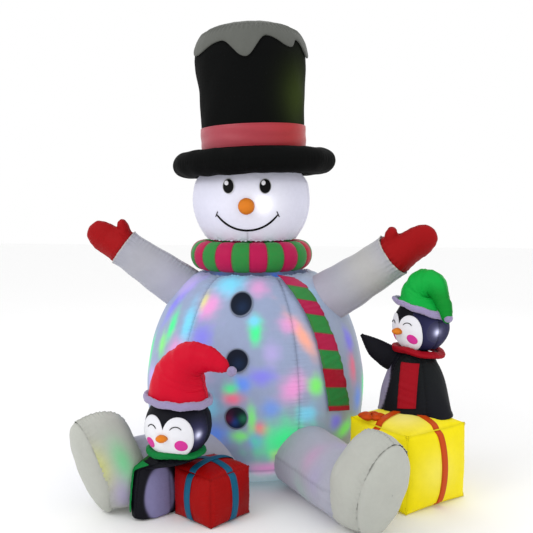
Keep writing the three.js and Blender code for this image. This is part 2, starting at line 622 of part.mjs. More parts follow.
function buildPenguinHead(group, label, plan, headLine, neighbours) {
  const { radius } = plan.head;
  const skull = solidOf(clothWall(headLine, PENGUIN_SIDES));
  add(group, `${label}_head`, clearOf(skull, group, neighbours), cloth(plan.colours.body));
  const face = solidOf(forwardExtrude(faceShape(radius)).translate(0, 0, -radius * 0.08));
  const patch = clearOf(appliqueOn(headLine, PENGUIN_SIDES, face), group, neighbours);
  add(group, `${label}_face`, largest(patch), cloth("white"));
  const beak = new THREE.SphereGeometry(1, 10, 8).scale(17, 22, 12).translate(0, -radius - 9, -radius * 0.14);
  const front = solidOf(revolvedSolid(offset(headLine, 2 * GAP + PATCH), PENGUIN_SIDES));
  add(group, `${label}_beak`, solidOf(beak).subtract(front), cloth("orange"));
  add(group, `${label}_lamp`, lamp(radius - CLOTH - 2, -radius * 0.12, 62), lampMaterial());
}

/** A drooping stocking hat with a fleece trim and a bobble at its tip. */
function buildPenguinHat(group, label, plan, headAround) {
  const { radius, rise, path } = plan.hat;
  const line = new THREE.CatmullRomCurve3(path.map(([x, y, z]) => new THREE.Vector3(x, y, z + rise)));
  const length = line.getLength();
  const shares = [[1, 0], [0.97, 0.12], [0.86, 0.27], [0.6, 0.48], [0.4, 0.7], [0.18, 0.95], [0, 1]];
  const cone = smooth(shares.map(([r, s]) => [r * radius, s * length]), 8);
  const hat = solidOf(bend(clothWall(cone, PENGUIN_SIDES), line, length, [0, 1, 0]));
  const longer = offset([new THREE.Vector2(radius, -20), ...cone], 2 * GAP);
  const hatAround = solidOf(bend(revolvedSolid(longer, PENGUIN_SIDES), line, length, [0, 1, 0]));
  add(group, `${label}_hat`, clearOf(hat, group, [headAround]), cloth(plan.colours.hat));
  const trim = new THREE.TorusGeometry(radius + 10, 9, 7, PENGUIN_SIDES).rotateZ(Math.PI / 2);
  const roll = solidOf(trim.scale(1, 1, 1.3).translate(0, 0, rise + 4)).subtract(hatAround);
  add(group, `${label}_hat_trim`, largest(clearOf(roll, group, [headAround])), cloth("lilac"));
  const tip = line.getPointAt(1).addScaledVector(line.getTangentAt(1), 17);
  add(group, `${label}_bobble`, new THREE.IcosahedronGeometry(16, 1).translate(tip.x, tip.y, tip.z), cloth("lilac"));
}

// ---- Fan and projector --------------------------------------------------------------------------
/** A disc about the Y axis, from one place on it to another. */
function disc(radius, from, to, sides = 20) {
  return new THREE.CylinderGeometry(radius, radius, to - from, sides).translate(0, (from + to) / 2, 0);
}

function buildFan(group) {
  group.position.set(0, 0, FAN.height);
  const { radius, inside, outside, wall, hub, strut, motor, clearance } = FAN;
  const plastic = new THREE.MeshStandardMaterial({ color: COLOURS.plastic, roughness: 0.5, metalness: 0 });
  const steel = new THREE.MeshStandardMaterial({ color: COLOURS.steel, roughness: 0.35, metalness: 0.8 });
  const motorFront = inside + 2 * strut + clearance;
  const motorBack = motorFront + motor;
  add(group, "fan_housing", fanHousing(group, inside + strut, inside + 2 * strut), plastic);
  add(group, "fan_motor", disc(hub, motorFront, motorBack), steel);
  add(group, "fan_impeller", impeller(motorBack), plastic);
  add(group, "fan_grille", grille(radius - wall - 2, outside), plastic);
}

/** The duct with its flange, the struts and plate that carry the motor, and the cable gland. */
function fanHousing(group, plateFront, plateBack) {
  const { radius, flange, inside, outside, wall, hub, strut, gland } = FAN;
  const bodyHere = solidOf(inFrameOf(group, revolvedSolid(offset(bodyOutline, GAP), BODY_SIDES)));
  const rim = solidOf(disc(flange, inside, outside)).subtract(bodyHere);
  const duct = solidOf(disc(radius, inside, outside)).add(rim);
  let housing = duct.subtract(solidOf(disc(radius - wall, inside - 1, outside + 1)));
  for (const turn of [30, 150, 270]) {
    const low = [hub - wall, plateFront, -strut / 2];
    const high = [radius - wall / 2, plateBack, strut / 2];
    housing = housing.add(solidOf(boxBetween(low, high).rotateY(radians(turn))));
  }
  housing = housing.add(solidOf(disc(hub, plateFront, plateBack)));
  const tube = (size) => solidOf(new THREE.CylinderGeometry(size, size, gland.length, 12));
  const middle = outside + wall;
  return housing
    .add(tube(gland.radius).translate([gland.x, middle, gland.z]))
    .subtract(tube(gland.bore).translate([gland.x, middle + wall, gland.z]));
}

/** The hub with its pitched blades, and the shaft that enters the motor. */
function impeller(motorBack) {
  const { radius, wall, hub, shaft, clearance, blades, bladeDepth, bladePitch } = FAN;
  const front = motorBack + 4 * clearance;
  const hubSize = hub + wall / 2;
  let made = solidOf(disc(hubSize, front, front + bladeDepth));
  const span = radius - 2 * wall - hub;
  for (let i = 0; i < blades; i++) {
    const blade = new THREE.BoxGeometry(span, CLOTH, bladeDepth * 1.2).rotateX(radians(bladePitch));
    blade.translate(hub - wall / 2 + span / 2, front + bladeDepth / 2, 0).rotateY((i * 2 * Math.PI) / blades);
    made = made.add(solidOf(blade));
  }
  return made.add(solidOf(disc(shaft, motorBack + clearance, front + 1, 12)));
}

/** A round guard of rings joined by four spokes. */
function grille(radius, outside) {
  let made = null;
  for (const ring of [radius - 2.5, radius * 0.72, radius * 0.46]) {
    const band = new THREE.Shape().absarc(0, 0, ring + 2.5, 0, 2 * Math.PI, false);
    band.holes.push(new THREE.Path().absarc(0, 0, ring - 2.5, 0, 2 * Math.PI, true));
    const solid = solidOf(new THREE.ExtrudeGeometry(band, { depth: 4, bevelEnabled: false, curveSegments: 5 }));
    made = made ? made.add(solid) : solid;
  }
  made = made.add(solidOf(new THREE.CylinderGeometry(14, 14, 4, 16).rotateX(Math.PI / 2).translate(0, 0, 2)));
  for (let i = 0; i < 2; i++) {
    const spoke = boxBetween([-radius + 2, -2.5, 0], [radius - 2, 2.5, 4]).rotateZ((i * Math.PI) / 2 + Math.PI / 4);
    made = made.add(solidOf(spoke));
  }
  return geometryOf(made).rotateX(-Math.PI / 2).translate(0, outside - 6, 0);
}

function buildProjector(group) {
  group.position.set(0, -60, CLOTH + GAP);
  const { radius, height } = PROJECTOR;
  const base = revolvedSolid(pairs([[radius + 14, 0], [radius + 14, 5], [radius, 12], [radius - 3, height]]), 24);
  add(group, "projector_base", base, new THREE.MeshStandardMaterial({ color: COLOURS.plastic, roughness: 0.5 }));
  const dome = revolvedSolid(arcOutline(radius - 4, height + GAP, 0, 90, 6), 20);
  add(group, "projector_dome", dome, lampMaterial());
}

// ---- Assembly -----------------------------------------------------------------------------------
const part = (name) => {
  const group = new THREE.Group();
  group.name = name;
  snowman.add(group);
  return group;
};

buildBody(part("body"));
buildScarf(part("scarf"));
buildZip(part("zip"));
buildLimbs(part("limbs"));
buildHead(part("head"));
buildHat(part("hat"));

const bodyAround = revolvedSolid(offset(bodyOutline, GAP), BODY_SIDES);
const rightLegAround = limb(legPath("right"), LEG.radius * LEG.hip + GAP, LEG.radius + GAP, 16, 2, true);
const rightFootAround = footShape("right", smooth(FOOT_OUTLINE, 6), true, GAP);
const redGift = part("red_gift");
placeGift(redGift, RED_GIFT);
buildGift(redGift, "red_gift", RED_GIFT, "giftRed", "ribbonBlue", [rightLegAround]);
const yellowGift = part("yellow_gift");
placeGift(yellowGift, YELLOW_GIFT);
buildGift(yellowGift, "yellow_gift", YELLOW_GIFT, "giftYellow", "ribbonOrange", [bodyAround]);
const redGiftAround = worldOf(redGift, roundedBox(RED_GIFT, 2 * GAP + PATCH));

buildPenguin(part("red_hat_penguin"), "red_hat", PENGUINS.red_hat, 0, [redGiftAround, rightLegAround, rightFootAround]);
buildPenguin(part("green_hat_penguin"), "green_hat", PENGUINS.green_hat, YELLOW_GIFT.height + 2 * GAP + PATCH, []);
buildFan(part("fan"));
buildProjector(part("projector"));

export default snowman;
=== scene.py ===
"""The looks of the inflatable yard snowman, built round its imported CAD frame.

Metres, +Z up, the origin on the ground on the body's axis. The snowman looks towards -Y. An azimuth is
in degrees about the Z axis, 0 towards -Y and 90 towards +X. Cloth pieces are grids of points: rows run
up or along a piece, and columns run round it.
"""
import math

import bmesh
import bpy
import numpy as np
from mathutils import Matrix, Vector


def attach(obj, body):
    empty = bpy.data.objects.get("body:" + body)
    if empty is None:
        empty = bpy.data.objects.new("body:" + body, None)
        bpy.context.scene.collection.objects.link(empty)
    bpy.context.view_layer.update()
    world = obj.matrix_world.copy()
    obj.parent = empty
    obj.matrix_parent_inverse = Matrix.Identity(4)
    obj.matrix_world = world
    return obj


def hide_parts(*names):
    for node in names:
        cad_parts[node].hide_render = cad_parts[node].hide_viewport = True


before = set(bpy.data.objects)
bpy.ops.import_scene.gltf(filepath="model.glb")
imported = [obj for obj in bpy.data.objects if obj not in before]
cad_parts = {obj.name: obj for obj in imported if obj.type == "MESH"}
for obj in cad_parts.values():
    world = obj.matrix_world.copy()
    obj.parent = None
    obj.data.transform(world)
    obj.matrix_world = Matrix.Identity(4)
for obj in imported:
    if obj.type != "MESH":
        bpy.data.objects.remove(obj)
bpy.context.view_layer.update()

BODY = "snowman"  # the CAD body that all still pieces ride on

# ---- Sizes shared by several pieces -------------------------------------------------------------
BODY_OUTLINE = [
    (0.280, 0.0), (0.346, 0.017), (0.408, 0.076), (0.442, 0.168), (0.455, 0.310), (0.450, 0.410),
    (0.425, 0.530), (0.376, 0.650), (0.320, 0.730), (0.266, 0.780), (0.222, 0.797),
]
BODY_SEAMS = (-150, -90, -30, 30, 90, 150)
HEAD_OUTLINE = [
    (0.186, 0.925), (0.220, 0.978), (0.240, 1.036), (0.245, 1.090), (0.238, 1.150), (0.225, 1.178),
    (0.207, 1.198),
]
HEAD_PLACE = (-0.018, 0.0, 0.0)
HEAD_TURN = 5
HAT_PLACE = (-0.005, 0.0, 1.236)
HAT_TILT = -2
CROWN_OUTLINE = [
    (0.210, 0.022), (0.211, 0.065), (0.213, 0.150), (0.220, 0.290), (0.228, 0.390), (0.229, 0.425),
    (0.219, 0.474), (0.184, 0.518), (0.106, 0.545), (0.001, 0.553),
]
# The lower edge of the snow on the crown: azimuth and height of its tips and of the notches between them.
SNOW_EDGE = [
    (-92, 0.466), (-56, 0.424), (-20, 0.458), (4, 0.392), (25, 0.470), (52, 0.432), (61, 0.464), (84, 0.408),
    (112, 0.466), (142, 0.420), (176, 0.464), (206, 0.410), (236, 0.458),
]
ARMS = {
    "right": dict(path=[(-0.180, -0.030, 0.640), (-0.398, -0.050, 0.782), (-0.544, -0.080, 0.892)],
                  start=0.096, end=0.071, hand=0.168),
    "left": dict(path=[(0.180, -0.050, 0.622), (0.402, -0.104, 0.752), (0.562, -0.160, 0.876)],
                 start=0.104, end=0.078, hand=0.190),
}
LEGS = {
    "right": dict(foot=(-0.437, -0.655), splay=-47, hip=(-0.040, -0.285)),
    "left": dict(foot=(0.500, -0.728), splay=41, hip=(0.214, -0.290)),
}
FOOT_HEIGHT, FOOT_DEPTH, FOOT_STRETCH, FOOT_LEAN = 0.173, 0.212, 1.72, 0.3
FAN_HEIGHT, FAN_RADIUS = 0.176, 0.070
YELLOW_TOP = 0.2913  # what the penguin on the yellow gift stands on


# ---- Camera, lights and floor -------------------------------------------------------------------
def make_camera():
    data = bpy.data.cameras.new("camera")
    data.lens = 50.52
    data.sensor_width = 36
    camera = bpy.data.objects.new("camera", data)
    camera.location = (0.4865, -3.0717, 1.093)
    camera.rotation_euler = (math.radians(84.8), 0, math.radians(8.17))
    bpy.context.scene.collection.objects.link(camera)
    bpy.context.scene.camera = camera


def area_light(name, place, target, size, power):
    data = bpy.data.lights.new(name, "AREA")
    data.size = size
    data.energy = power
    light = bpy.data.objects.new(name, data)
    light.location = place
    light.rotation_euler = (Vector(target) - Vector(place)).to_track_quat("-Z", "Y").to_euler()
    bpy.context.scene.collection.objects.link(light)


def make_studio():
    world = bpy.data.worlds.new("studio")
    world.use_nodes = True
    world.node_tree.nodes["Background"].inputs["Color"].default_value = (1, 1, 1, 1)
    world.node_tree.nodes["Background"].inputs["Strength"].default_value = 1.0
    bpy.context.scene.world = world
    bpy.context.scene.view_settings.view_transform = "Standard"
    area_light("key", (-2.4, -3.0, 3.2), (0, 0, 0.8), 1.8, 42)
    area_light("fill", (3.0, -2.2, 1.8), (0, 0, 0.8), 2.6, 8)
    area_light("back", (0.6, 3.2, 3.0), (0, 0, 0.9), 2.4, 10)
    mesh = bpy.data.meshes.new("floor")
    reach, level = 14, -0.0005  # just under what stands on it
    corners = [(-reach, -reach, level), (reach, -reach, level), (reach, reach, level), (-reach, reach, level)]
    mesh.from_pydata(corners, [], [(0, 1, 2, 3)])
    floor = bpy.data.objects.new("floor", mesh)
    bpy.context.scene.collection.objects.link(floor)
    material = bpy.data.materials.new("floor")
    material.use_nodes = True
    shader = material.node_tree.nodes["Principled BSDF"]
    shader.inputs["Base Color"].default_value = (0.96, 0.96, 0.96, 1)
    shader.inputs["Roughness"].default_value = 0.9
    mesh.materials.append(material)


make_camera()
make_studio()


# ---- Colours ------------------------------------------------------------------------------------
def rgb(code):
    """The linear colour of an sRGB hex code."""
    values = np.array([int(code[i:i + 2], 16) / 255 for i in (0, 2, 4)])
    return np.where(values <= 0.04045, values / 12.92, ((values + 0.055) / 1.055) ** 2.4)


# Colours of the light that is painted onto the cloth: PALE_BLUE to LILAC.
PALE_BLUE, PINK, ROSE, LEMON = "72cdec", "e292cc", "ee5f80", "e4e860"
MINT, LIME, SKY, VIOLET, PEACH, LILAC = "3ce88a", "7ae86a", "5488f0", "776cea", "f0a48c", "b8a2e2"
MAGENTA, GREEN, RED = "c81a58", "229844", "cc1c2c"


# ---- Materials ----------------------------------------------------------------------------------
def node_of(tree, kind, **values):
    """A new shader node, with its named inputs and settings given."""
    node = tree.nodes.new(kind)
    for key, value in values.items():
        if key in node.inputs:
            node.inputs[key].default_value = value
        else:
            setattr(node, key, value)
    return node


def mix_colour(tree, factor, first, second, blend="MIX"):
    """A colour mix of two sockets or colours."""
    node = tree.nodes.new("ShaderNodeMix")
    node.data_type = "RGBA"
    node.blend_type = blend
    for socket, value in ((node.inputs["Factor"], factor), (node.inputs[6], first), (node.inputs[7], second)):
        if isinstance(value, bpy.types.NodeSocket):
            tree.links.new(value, socket)
        elif isinstance(value, (int, float)):
            socket.default_value = value
        else:
            socket.default_value = (*value, 1)
    return node.outputs[2]


def maths(tree, operation, first, second=0.0):
    node = tree.nodes.new("ShaderNodeMath")
    node.operation = operation
    for socket, value in zip(node.inputs, (first, second)):
        if isinstance(value, bpy.types.NodeSocket):
            tree.links.new(value, socket)
        else:
            socket.default_value = value
    return node.outputs[0]


def noise(tree, scale, detail=3.0):
    """A noise value over the piece's own space."""
    place = tree.nodes.new("ShaderNodeTexCoord")
    node = node_of(tree, "ShaderNodeTexNoise", Scale=scale, Detail=detail, Roughness=0.55)
    tree.links.new(place.outputs["Object"], node.inputs["Vector"])
    return node.outputs["Fac"]


def weave(tree, pitch):
    """The crossing threads of a woven cloth, as a height."""
    place = tree.nodes.new("ShaderNodeTexCoord")
    heights = []
    for axis, turn in (("X", 0.3), ("Z", 0.2), ("Y", 0.1)):
        wave = node_of(tree, "ShaderNodeTexWave", Scale=1 / pitch, Distortion=turn, bands_direction=axis)
        tree.links.new(place.outputs["Object"], wave.inputs["Vector"])
        heights.append(wave.outputs["Fac"])
    return maths(tree, "ADD", maths(tree, "ADD", heights[0], heights[1]), heights[2])


def bump(tree, height, strength, distance, before=None):
    node = node_of(tree, "ShaderNodeBump", Strength=strength, Distance=distance)
    tree.links.new(height, node.inputs["Height"])
    if before is not None:
        tree.links.new(before, node.inputs["Normal"])
    return node.outputs["Normal"]


def attribute(tree, name, output):
    node = node_of(tree, "ShaderNodeAttribute", attribute_name=name)
    return node.outputs[output]


DEPTH = 0.76  # how much darker the dyes are than they look under the white studio


def cloth(name, colour, glow=0.0, roughness=0.5, sheen=0.0, crinkle=0.5, pile=0.0, gloss=0.1, depth=DEPTH):
    """Woven polyester. The mesh's own layers tint it with colour and painted light, paint shade on its seams,
    stitch them and light it.
    """
    material = bpy.data.materials.new(name)
    material.use_nodes = True
    tree = material.node_tree
    shader = tree.nodes["Principled BSDF"]
    base = depth * rgb(colour)
    blotch = noise(tree, 5.0)
    fine = noise(tree, 55.0, 4.0)
    plain = mix_colour(tree, blotch, base * 0.90, np.minimum(base * 1.10, 1.0))
    # The tint layer holds each piece's own colours and the light and shade painted on it.
    dye_and_painted_light = mix_colour(tree, 1.0, attribute(tree, "tint", "Color"), (depth, depth, depth), "MULTIPLY")
    plain = mix_colour(tree, attribute(tree, "tint", "Alpha"), plain, dye_and_painted_light)
    worn = mix_colour(tree, maths(tree, "MULTIPLY", fine, 0.16), plain, base * 0.45)
    # Painted shade: darker along seams, hems and gathered folds, where the crease layer is high.
    crease = attribute(tree, "crease", "Fac")
    shaded = mix_colour(tree, maths(tree, "MULTIPLY", crease, 0.30), worn, base * 0.35)
    stitch = maths(tree, "GREATER_THAN", maths(tree, "SINE", attribute(tree, "run", "Fac")), -0.2)
    on_seam = maths(tree, "GREATER_THAN", crease, 0.82)
    thread = maths(tree, "MULTIPLY", maths(tree, "MULTIPLY", stitch, on_seam), 0.30)
    shaded = mix_colour(tree, thread, shaded, base * 0.2)
    tree.links.new(shaded, shader.inputs["Base Color"])
    lit = maths(tree, "MULTIPLY_ADD", attribute(tree, "lit", "Fac"), 1.0)
    lit.node.inputs[2].default_value = glow
    tree.links.new(shaded, shader.inputs["Emission Color"])
    tree.links.new(lit, shader.inputs["Emission Strength"])
    rough = maths(tree, "MULTIPLY_ADD", blotch, 0.16)
    rough.node.inputs[2].default_value = roughness - 0.08
    tree.links.new(rough, shader.inputs["Roughness"])
    shader.inputs["Sheen Weight"].default_value = sheen
    shader.inputs["Sheen Roughness"].default_value = 0.5
    shader.inputs["Specular IOR Level"].default_value = gloss
    soft = bump(tree, noise(tree, 14.0, 5.0), 0.35 * crinkle, 0.012)
    soft = bump(tree, noise(tree, 60.0, 4.0), 0.30 * crinkle, 0.003, soft)
    if pile:
        soft = bump(tree, noise(tree, 420.0, 3.0), pile, 0.004, soft)
    tree.links.new(bump(tree, weave(tree, 0.0035), 0.12, 0.0006, soft), shader.inputs["Normal"])
    return material


def hard(name, colour, roughness=0.5, metallic=0.0, grain=300.0, transmission=0.0):
    """Moulded plastic or metal, with a fine grain and slightly uneven gloss."""
    material = bpy.data.materials.new(name)
    material.use_nodes = True
    tree = material.node_tree
    shader = tree.nodes["Principled BSDF"]
    base = np.array(rgb(colour))
    patches = noise(tree, 18.0)
    mixed = mix_colour(tree, patches, base * 0.85, np.minimum(base * 1.15, 1.0))
    tree.links.new(mixed, shader.inputs["Base Color"])
    rough = maths(tree, "MULTIPLY_ADD", patches, 0.2)
    rough.node.inputs[2].default_value = roughness - 0.1
    tree.links.new(rough, shader.inputs["Roughness"])
    tree.links.new(bump(tree, noise(tree, grain), 0.15, 0.0006), shader.inputs["Normal"])
    shader.inputs["Metallic"].default_value = metallic
    shader.inputs["Transmission Weight"].default_value = transmission
    return material


# ---- Geometry helpers ---------------------------------------------------------------------------
STITCHES = 2 * math.pi / 0.007  # turns a distance along a seam into the phase of its stitches


def spline(points, count):
    """Evenly spaced points on a smooth curve through the given ones."""
    p = np.array(points, float)
    ends = np.vstack([p[:1], p, p[-1:]])
    dense = []
    for i in range(len(p) - 1):
        a, b, c, d = ends[i:i + 4]
        t = np.linspace(0, 1, 40, endpoint=False)[:, None]
        dense.append(b + 0.5 * t * (c - a + t * (2 * a - 5 * b + 4 * c - d + t * (3 * (b - c) + d - a))))
    dense = np.vstack([*dense, p[-1:]])
    return evenly(dense, count)


def evenly(line, count):
    """A line's points, respaced evenly along it."""
    steps = np.r_[0, np.cumsum(np.linalg.norm(np.diff(line, axis=0), axis=1))]
    wanted = np.linspace(0, steps[-1], count)
    return np.stack([np.interp(wanted, steps, line[:, k]) for k in range(line.shape[1])], 1)


def bezier(points, count):
    a, b, c = (np.array(x) for x in points)
    t = np.linspace(0, 1, 200)[:, None]
    return evenly((1 - t) ** 2 * a + 2 * t * (1 - t) * b + t ** 2 * c, count)


def unit(v):
    return v / np.maximum(np.linalg.norm(v, axis=-1, keepdims=True), 1e-12)


def normals(grid, wrap=True):
    """The outward normals of a grid of points."""
    across = np.roll(grid, -1, 1) - np.roll(grid, 1, 1) if wrap else np.gradient(grid, axis=1)
    return unit(np.cross(across, np.gradient(grid, axis=0)))


def ripple(x, size, seed=0.0):
    """An uneven wave over a distance, from -1 to 1, with crests about size apart."""
    q = 2 * math.pi * x / size
    return 0.6 * np.sin(q + 1.7 * seed + 1.1 * np.sin(0.31 * q + seed)) + 0.4 * np.sin(1.63 * q + 2.9 * seed)


def rumple(grid, size, seed):
    """A smooth unevenness over space, from about -1 to 1, with folds about size apart."""
    rng = np.random.default_rng(seed)
    total = np.zeros(grid.shape[:-1])
    for _ in range(7):
        way = unit(rng.normal(size=3)) * 2 * math.pi / (size * rng.uniform(0.6, 1.7))
        total += np.sin(grid @ way + rng.uniform(0, 6.28))
    return total / 3.5


def turned(outline, columns, rows):
    """A surface of revolution's grid, and the azimuth of each of its columns."""
    line = spline(outline, rows)
    azimuth = np.arange(columns) * 360 / columns - 180
    a = np.radians(azimuth)
    r, z = line[:, :1], line[:, 1:]
    return ringed(r, a, z), azimuth


def ringed(r, a, z):
    """Points at a radius, an azimuth in radians and a height, which may each be a row, a column or a grid."""
    return np.stack(np.broadcast_arrays(r * np.sin(a), -r * np.cos(a), z), -1)


def radius_at(outline, z, count=300):
    """The radius of a surface of revolution at a height."""
    line = spline(outline, count)
    return np.interp(z, line[:, 1], line[:, 0])


def apart(angle, other):
    """How far one angle is past another, from -180 to 180 degrees."""
    return (angle - other + 180) % 360 - 180


def circle(radius, count=13):
    """The outline of a ball about the origin, open by a hair at its poles."""
    a = np.linspace(-math.pi / 2, math.pi / 2, count)
    return np.stack([np.maximum(radius * np.cos(a), 0.0005), radius * np.sin(a)], 1)


def tube(path, radii, columns, upright=(0, 0, 1), stretch=1.0):
    """A tube's grid round a path, and the angle of each column: 0 is the underside and 90 a side."""
    along = unit(np.gradient(path, axis=0))
    side = unit(np.cross(along, np.array(upright, float)))
    up = np.cross(side, along)
    angle = np.arange(columns) * 360 / columns - 180
    a = np.radians(angle)
    r = np.array(radii)[:, None, None]
    outward = side[:, None] * np.sin(a)[:, None] - stretch * up[:, None] * np.cos(a)[:, None]
    return path[:, None] + r * outward, angle


def sewn(grid, angle, seams, scallop=0.0, pucker=0.001, size=0.016, spread=0.025, folds=0.0, fold_size=0.3,
         seed=1):
    """A wrapped grid with its seams pulled in and puckered. Gives the grid and its seam layers."""
    middle = grid.mean(1, keepdims=True)
    radius = np.linalg.norm(grid - middle, axis=2)
    run = np.r_[0, np.cumsum(np.linalg.norm(np.diff(grid[:, 0], axis=0), axis=1))][:, None] + 0 * radius
    inward = folds * (rumple(grid, fold_size, seed) - 1) if folds else np.zeros_like(radius)
    crease = np.zeros_like(radius)
    for i, seam in enumerate(seams):
        away = np.abs(apart(angle, seam))
        distance = np.radians(away)[None] * radius
        span = 180 / max(len(seams), 2)
        inward -= scallop * np.clip(1 - np.sin(np.radians(np.minimum(away / span, 1) * 90)), 0, 1)[None]
        inward -= pucker * 1.6 * np.exp(-(distance / 0.006) ** 2)
        inward += pucker * (ripple(run, size, seed + i) - 0.6) * np.exp(-distance / spread)
        crease = np.maximum(crease, np.clip(1 - distance / 0.010, 0, 1))
    return grid + normals(grid) * inward[..., None], dict(crease=crease, run=run * STITCHES)


def pinched(grid, layers, rows_from_end, depth=0.004, size=0.02, low=True, high=True, seed=3):
    """Gathers a tube's ends: folds that run along it, deepest at its ends."""
    rows, columns = grid.shape[:2]
    step = np.linalg.norm(grid - np.roll(grid, 1, 1), axis=2)
    run = np.cumsum(step, 1)
    index = np.arange(rows)[:, None]
    near = np.zeros((rows, 1))
    if low:
        near = near + np.exp(-index / rows_from_end)
    if high:
        near = near + np.exp(-(rows - 1 - index) / rows_from_end)
    total = run[:, -1:]
    whole = np.round(total / size)
    wave = 0.5 * np.sin(2 * math.pi * run / total * whole + seed) - 0.5
    wave += 0.4 * np.sin(2 * math.pi * run / total * np.round(whole * 0.37) + 2 * seed)
    # Painted shade in the gathers, through the crease layer.
    layers["crease"] = np.maximum(layers.get("crease", 0), 0.5 * near * np.ones((1, columns)))
    return grid + normals(grid) * (near * wave * depth)[..., None], layers


def placed(grid, place=(0, 0, 0), turn=0.0, tilt=0.0):
    """A grid turned about its Z axis, tilted about its Y axis and moved to its place."""
    matrix = Matrix.Translation(place) @ Matrix.Rotation(math.radians(turn), 4, "Z")
    matrix = np.array(matrix @ Matrix.Rotation(math.radians(tilt), 4, "Y"))
    return grid @ matrix[:3, :3].T + matrix[:3, 3]


def piece(name, grid, material, replaces=(), wrap=True, layers=None, body=BODY, tint=None):
    """A cloth piece from its grid, with its layers, material, body and CAD nodes."""
    rows, columns = grid.shape[:2]
    index = np.arange(rows * columns).reshape(rows, columns)
    if wrap:
        left, right = index, np.roll(index, -1, 1)
    else:
        left, right = index[:, :-1], index[:, 1:]
    faces = np.stack([left[:-1], right[:-1], right[1:], left[1:]], -1).reshape(-1, 4)
    mesh = bpy.data.meshes.new(name)
    mesh.from_pydata(grid.reshape(-1, 3).tolist(), [], faces.tolist())
    for key, values in (layers or {}).items():
        layer = mesh.attributes.new(key, "FLOAT", "POINT")
        layer.data.foreach_set("value", np.broadcast_to(values, (rows, columns)).astype(np.float32).ravel())
    tint = no_tint((rows, columns)) if tint is None else tint
    layer = mesh.attributes.new("tint", "FLOAT_COLOR", "POINT")
    layer.data.foreach_set("color", np.broadcast_to(tint, (rows, columns, 4)).astype(np.float32).ravel())
    shape = bmesh.new()
    shape.from_mesh(mesh)
    bmesh.ops.remove_doubles(shape, verts=shape.verts, dist=1e-6)
    for face in shape.faces:
        face.smooth = True
    shape.to_mesh(mesh)
    shape.free()
    made = bpy.data.objects.new(name, mesh)
    bpy.context.scene.collection.objects.link(made)
    mesh.materials.append(material)
    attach(made, body)
    if replaces:
        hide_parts(*replaces)
    return made


def no_tint(shape):
    return np.zeros((*shape, 4))


def dab(tint, weight, colour):
    """Lays a colour over a tint layer by a weight from 0 to 1."""
    w = np.broadcast_to(np.clip(weight, 0, 1), tint.shape[:2])[..., None]
    solid = np.maximum(tint[..., 3:], 1e-9)
    new = w + tint[..., 3:] * (1 - w)
    tint[..., :3] = (rgb(colour) * w + tint[..., :3] * solid * (1 - w)) / np.maximum(new, 1e-9)
    tint[..., 3:] = new
    return tint


def painted(grid, *dabs):
    """A grid's tint layer: pairs of a weight and a colour, laid over each other in turn."""
    tint = no_tint(grid.shape[:2])
    for weight, colour in dabs:
        tint = dab(tint, weight, colour)
    return tint


def thicken(made, thickness):
    made.modifiers.new("thickness", "SOLIDIFY").thickness = thickness


def front(outline, x, z, lift=0.0):
    """The points on the front of a surface of revolution, ahead of given places across and up."""
    line = spline(outline, 200)
    r = radius_at(outline, z, 200)
    slope = np.gradient(line[:, 0], line[:, 1] + np.arange(200) * 1e-9)
    rise = np.interp(z, line[:, 1], np.clip(slope, -3, 3))
    y = -np.sqrt(np.maximum(r ** 2 - x ** 2, 1e-8))
    out = unit(np.stack([x / np.maximum(r, 1e-6), y / np.maximum(r, 1e-6), -rise], -1))
    return np.stack([x, y, z], -1) + out * np.asarray(lift)[..., None]


def patch_rings(edge, rings=10):
    """A patch's places across and up: rings from its middle to its edge, which goes round anticlockwise."""
    edge = np.array(edge)
    middle = edge.mean(0)
    share = np.r_[np.linspace(0, 0.94, rings), 1.0, 1.0]
    rim = np.r_[np.zeros(rings), 0.0, 1.0]
    places = middle + (edge - middle) * share[:, None, None]
    return places[::-1], rim[::-1, None]


def patch(name, outline, edge, material, replaces=(), lift=0.0035, place=None, tint=None, layers=None):
    """A sewn-on patch with a turned-down edge, on the front of a surface of revolution."""
    places, rim = patch_rings(edge)
    height = lift * (1 - rim) + 0 * places[..., 0]
    grid = front(outline, places[..., 0], places[..., 1], height)
    grid = place(grid) if place else grid
    return piece(name, grid, material, replaces, tint=tint, layers=layers)


def oval(x, z, wide, tall, count=48, lean=0.0):
    a = np.linspace(0, 2 * math.pi, count, endpoint=False)
    c, s = math.cos(lean), math.sin(lean)
    dx, dz = wide * np.cos(a), tall * np.sin(a)
    return np.stack([x + c * dx - s * dz, z + s * dx + c * dz], 1)


def arc_strip(x, z, radius, half_angle, width, facing, count=60):
    """A thin curved line of cloth as a grid of places: facing -1 is a smile, and 1 is a closed eye."""
    a = np.radians(np.linspace(-half_angle, half_angle, count))
    taper = width * np.sqrt(np.maximum(1 - (np.linspace(-1, 1, count)) ** 8, 0.02))
    across = np.linspace(-0.5, 0.5, 5)[:, None]
    r = radius + across * taper[None]
    return np.stack([x + r * np.sin(a), z + facing * r * np.cos(a)], -1)


def line_patch(name, outline, places, material, replaces=(), lift=0.004, place=None):
    """A thin line of cloth on the front of a surface of revolution."""
    across = np.abs(np.linspace(-1, 1, places.shape[0]))[:, None]
    grid = front(outline, places[..., 0], places[..., 1], lift * (1 - across ** 4) + 0 * places[..., 0])
    if np.cross(grid[1, 1] - grid[0, 1], grid[0, 2] - grid[0, 1])[1] < 0:
        grid = grid[::-1]
    grid = place(grid) if place else grid
    return piece(name, grid, material, replaces, wrap=False)


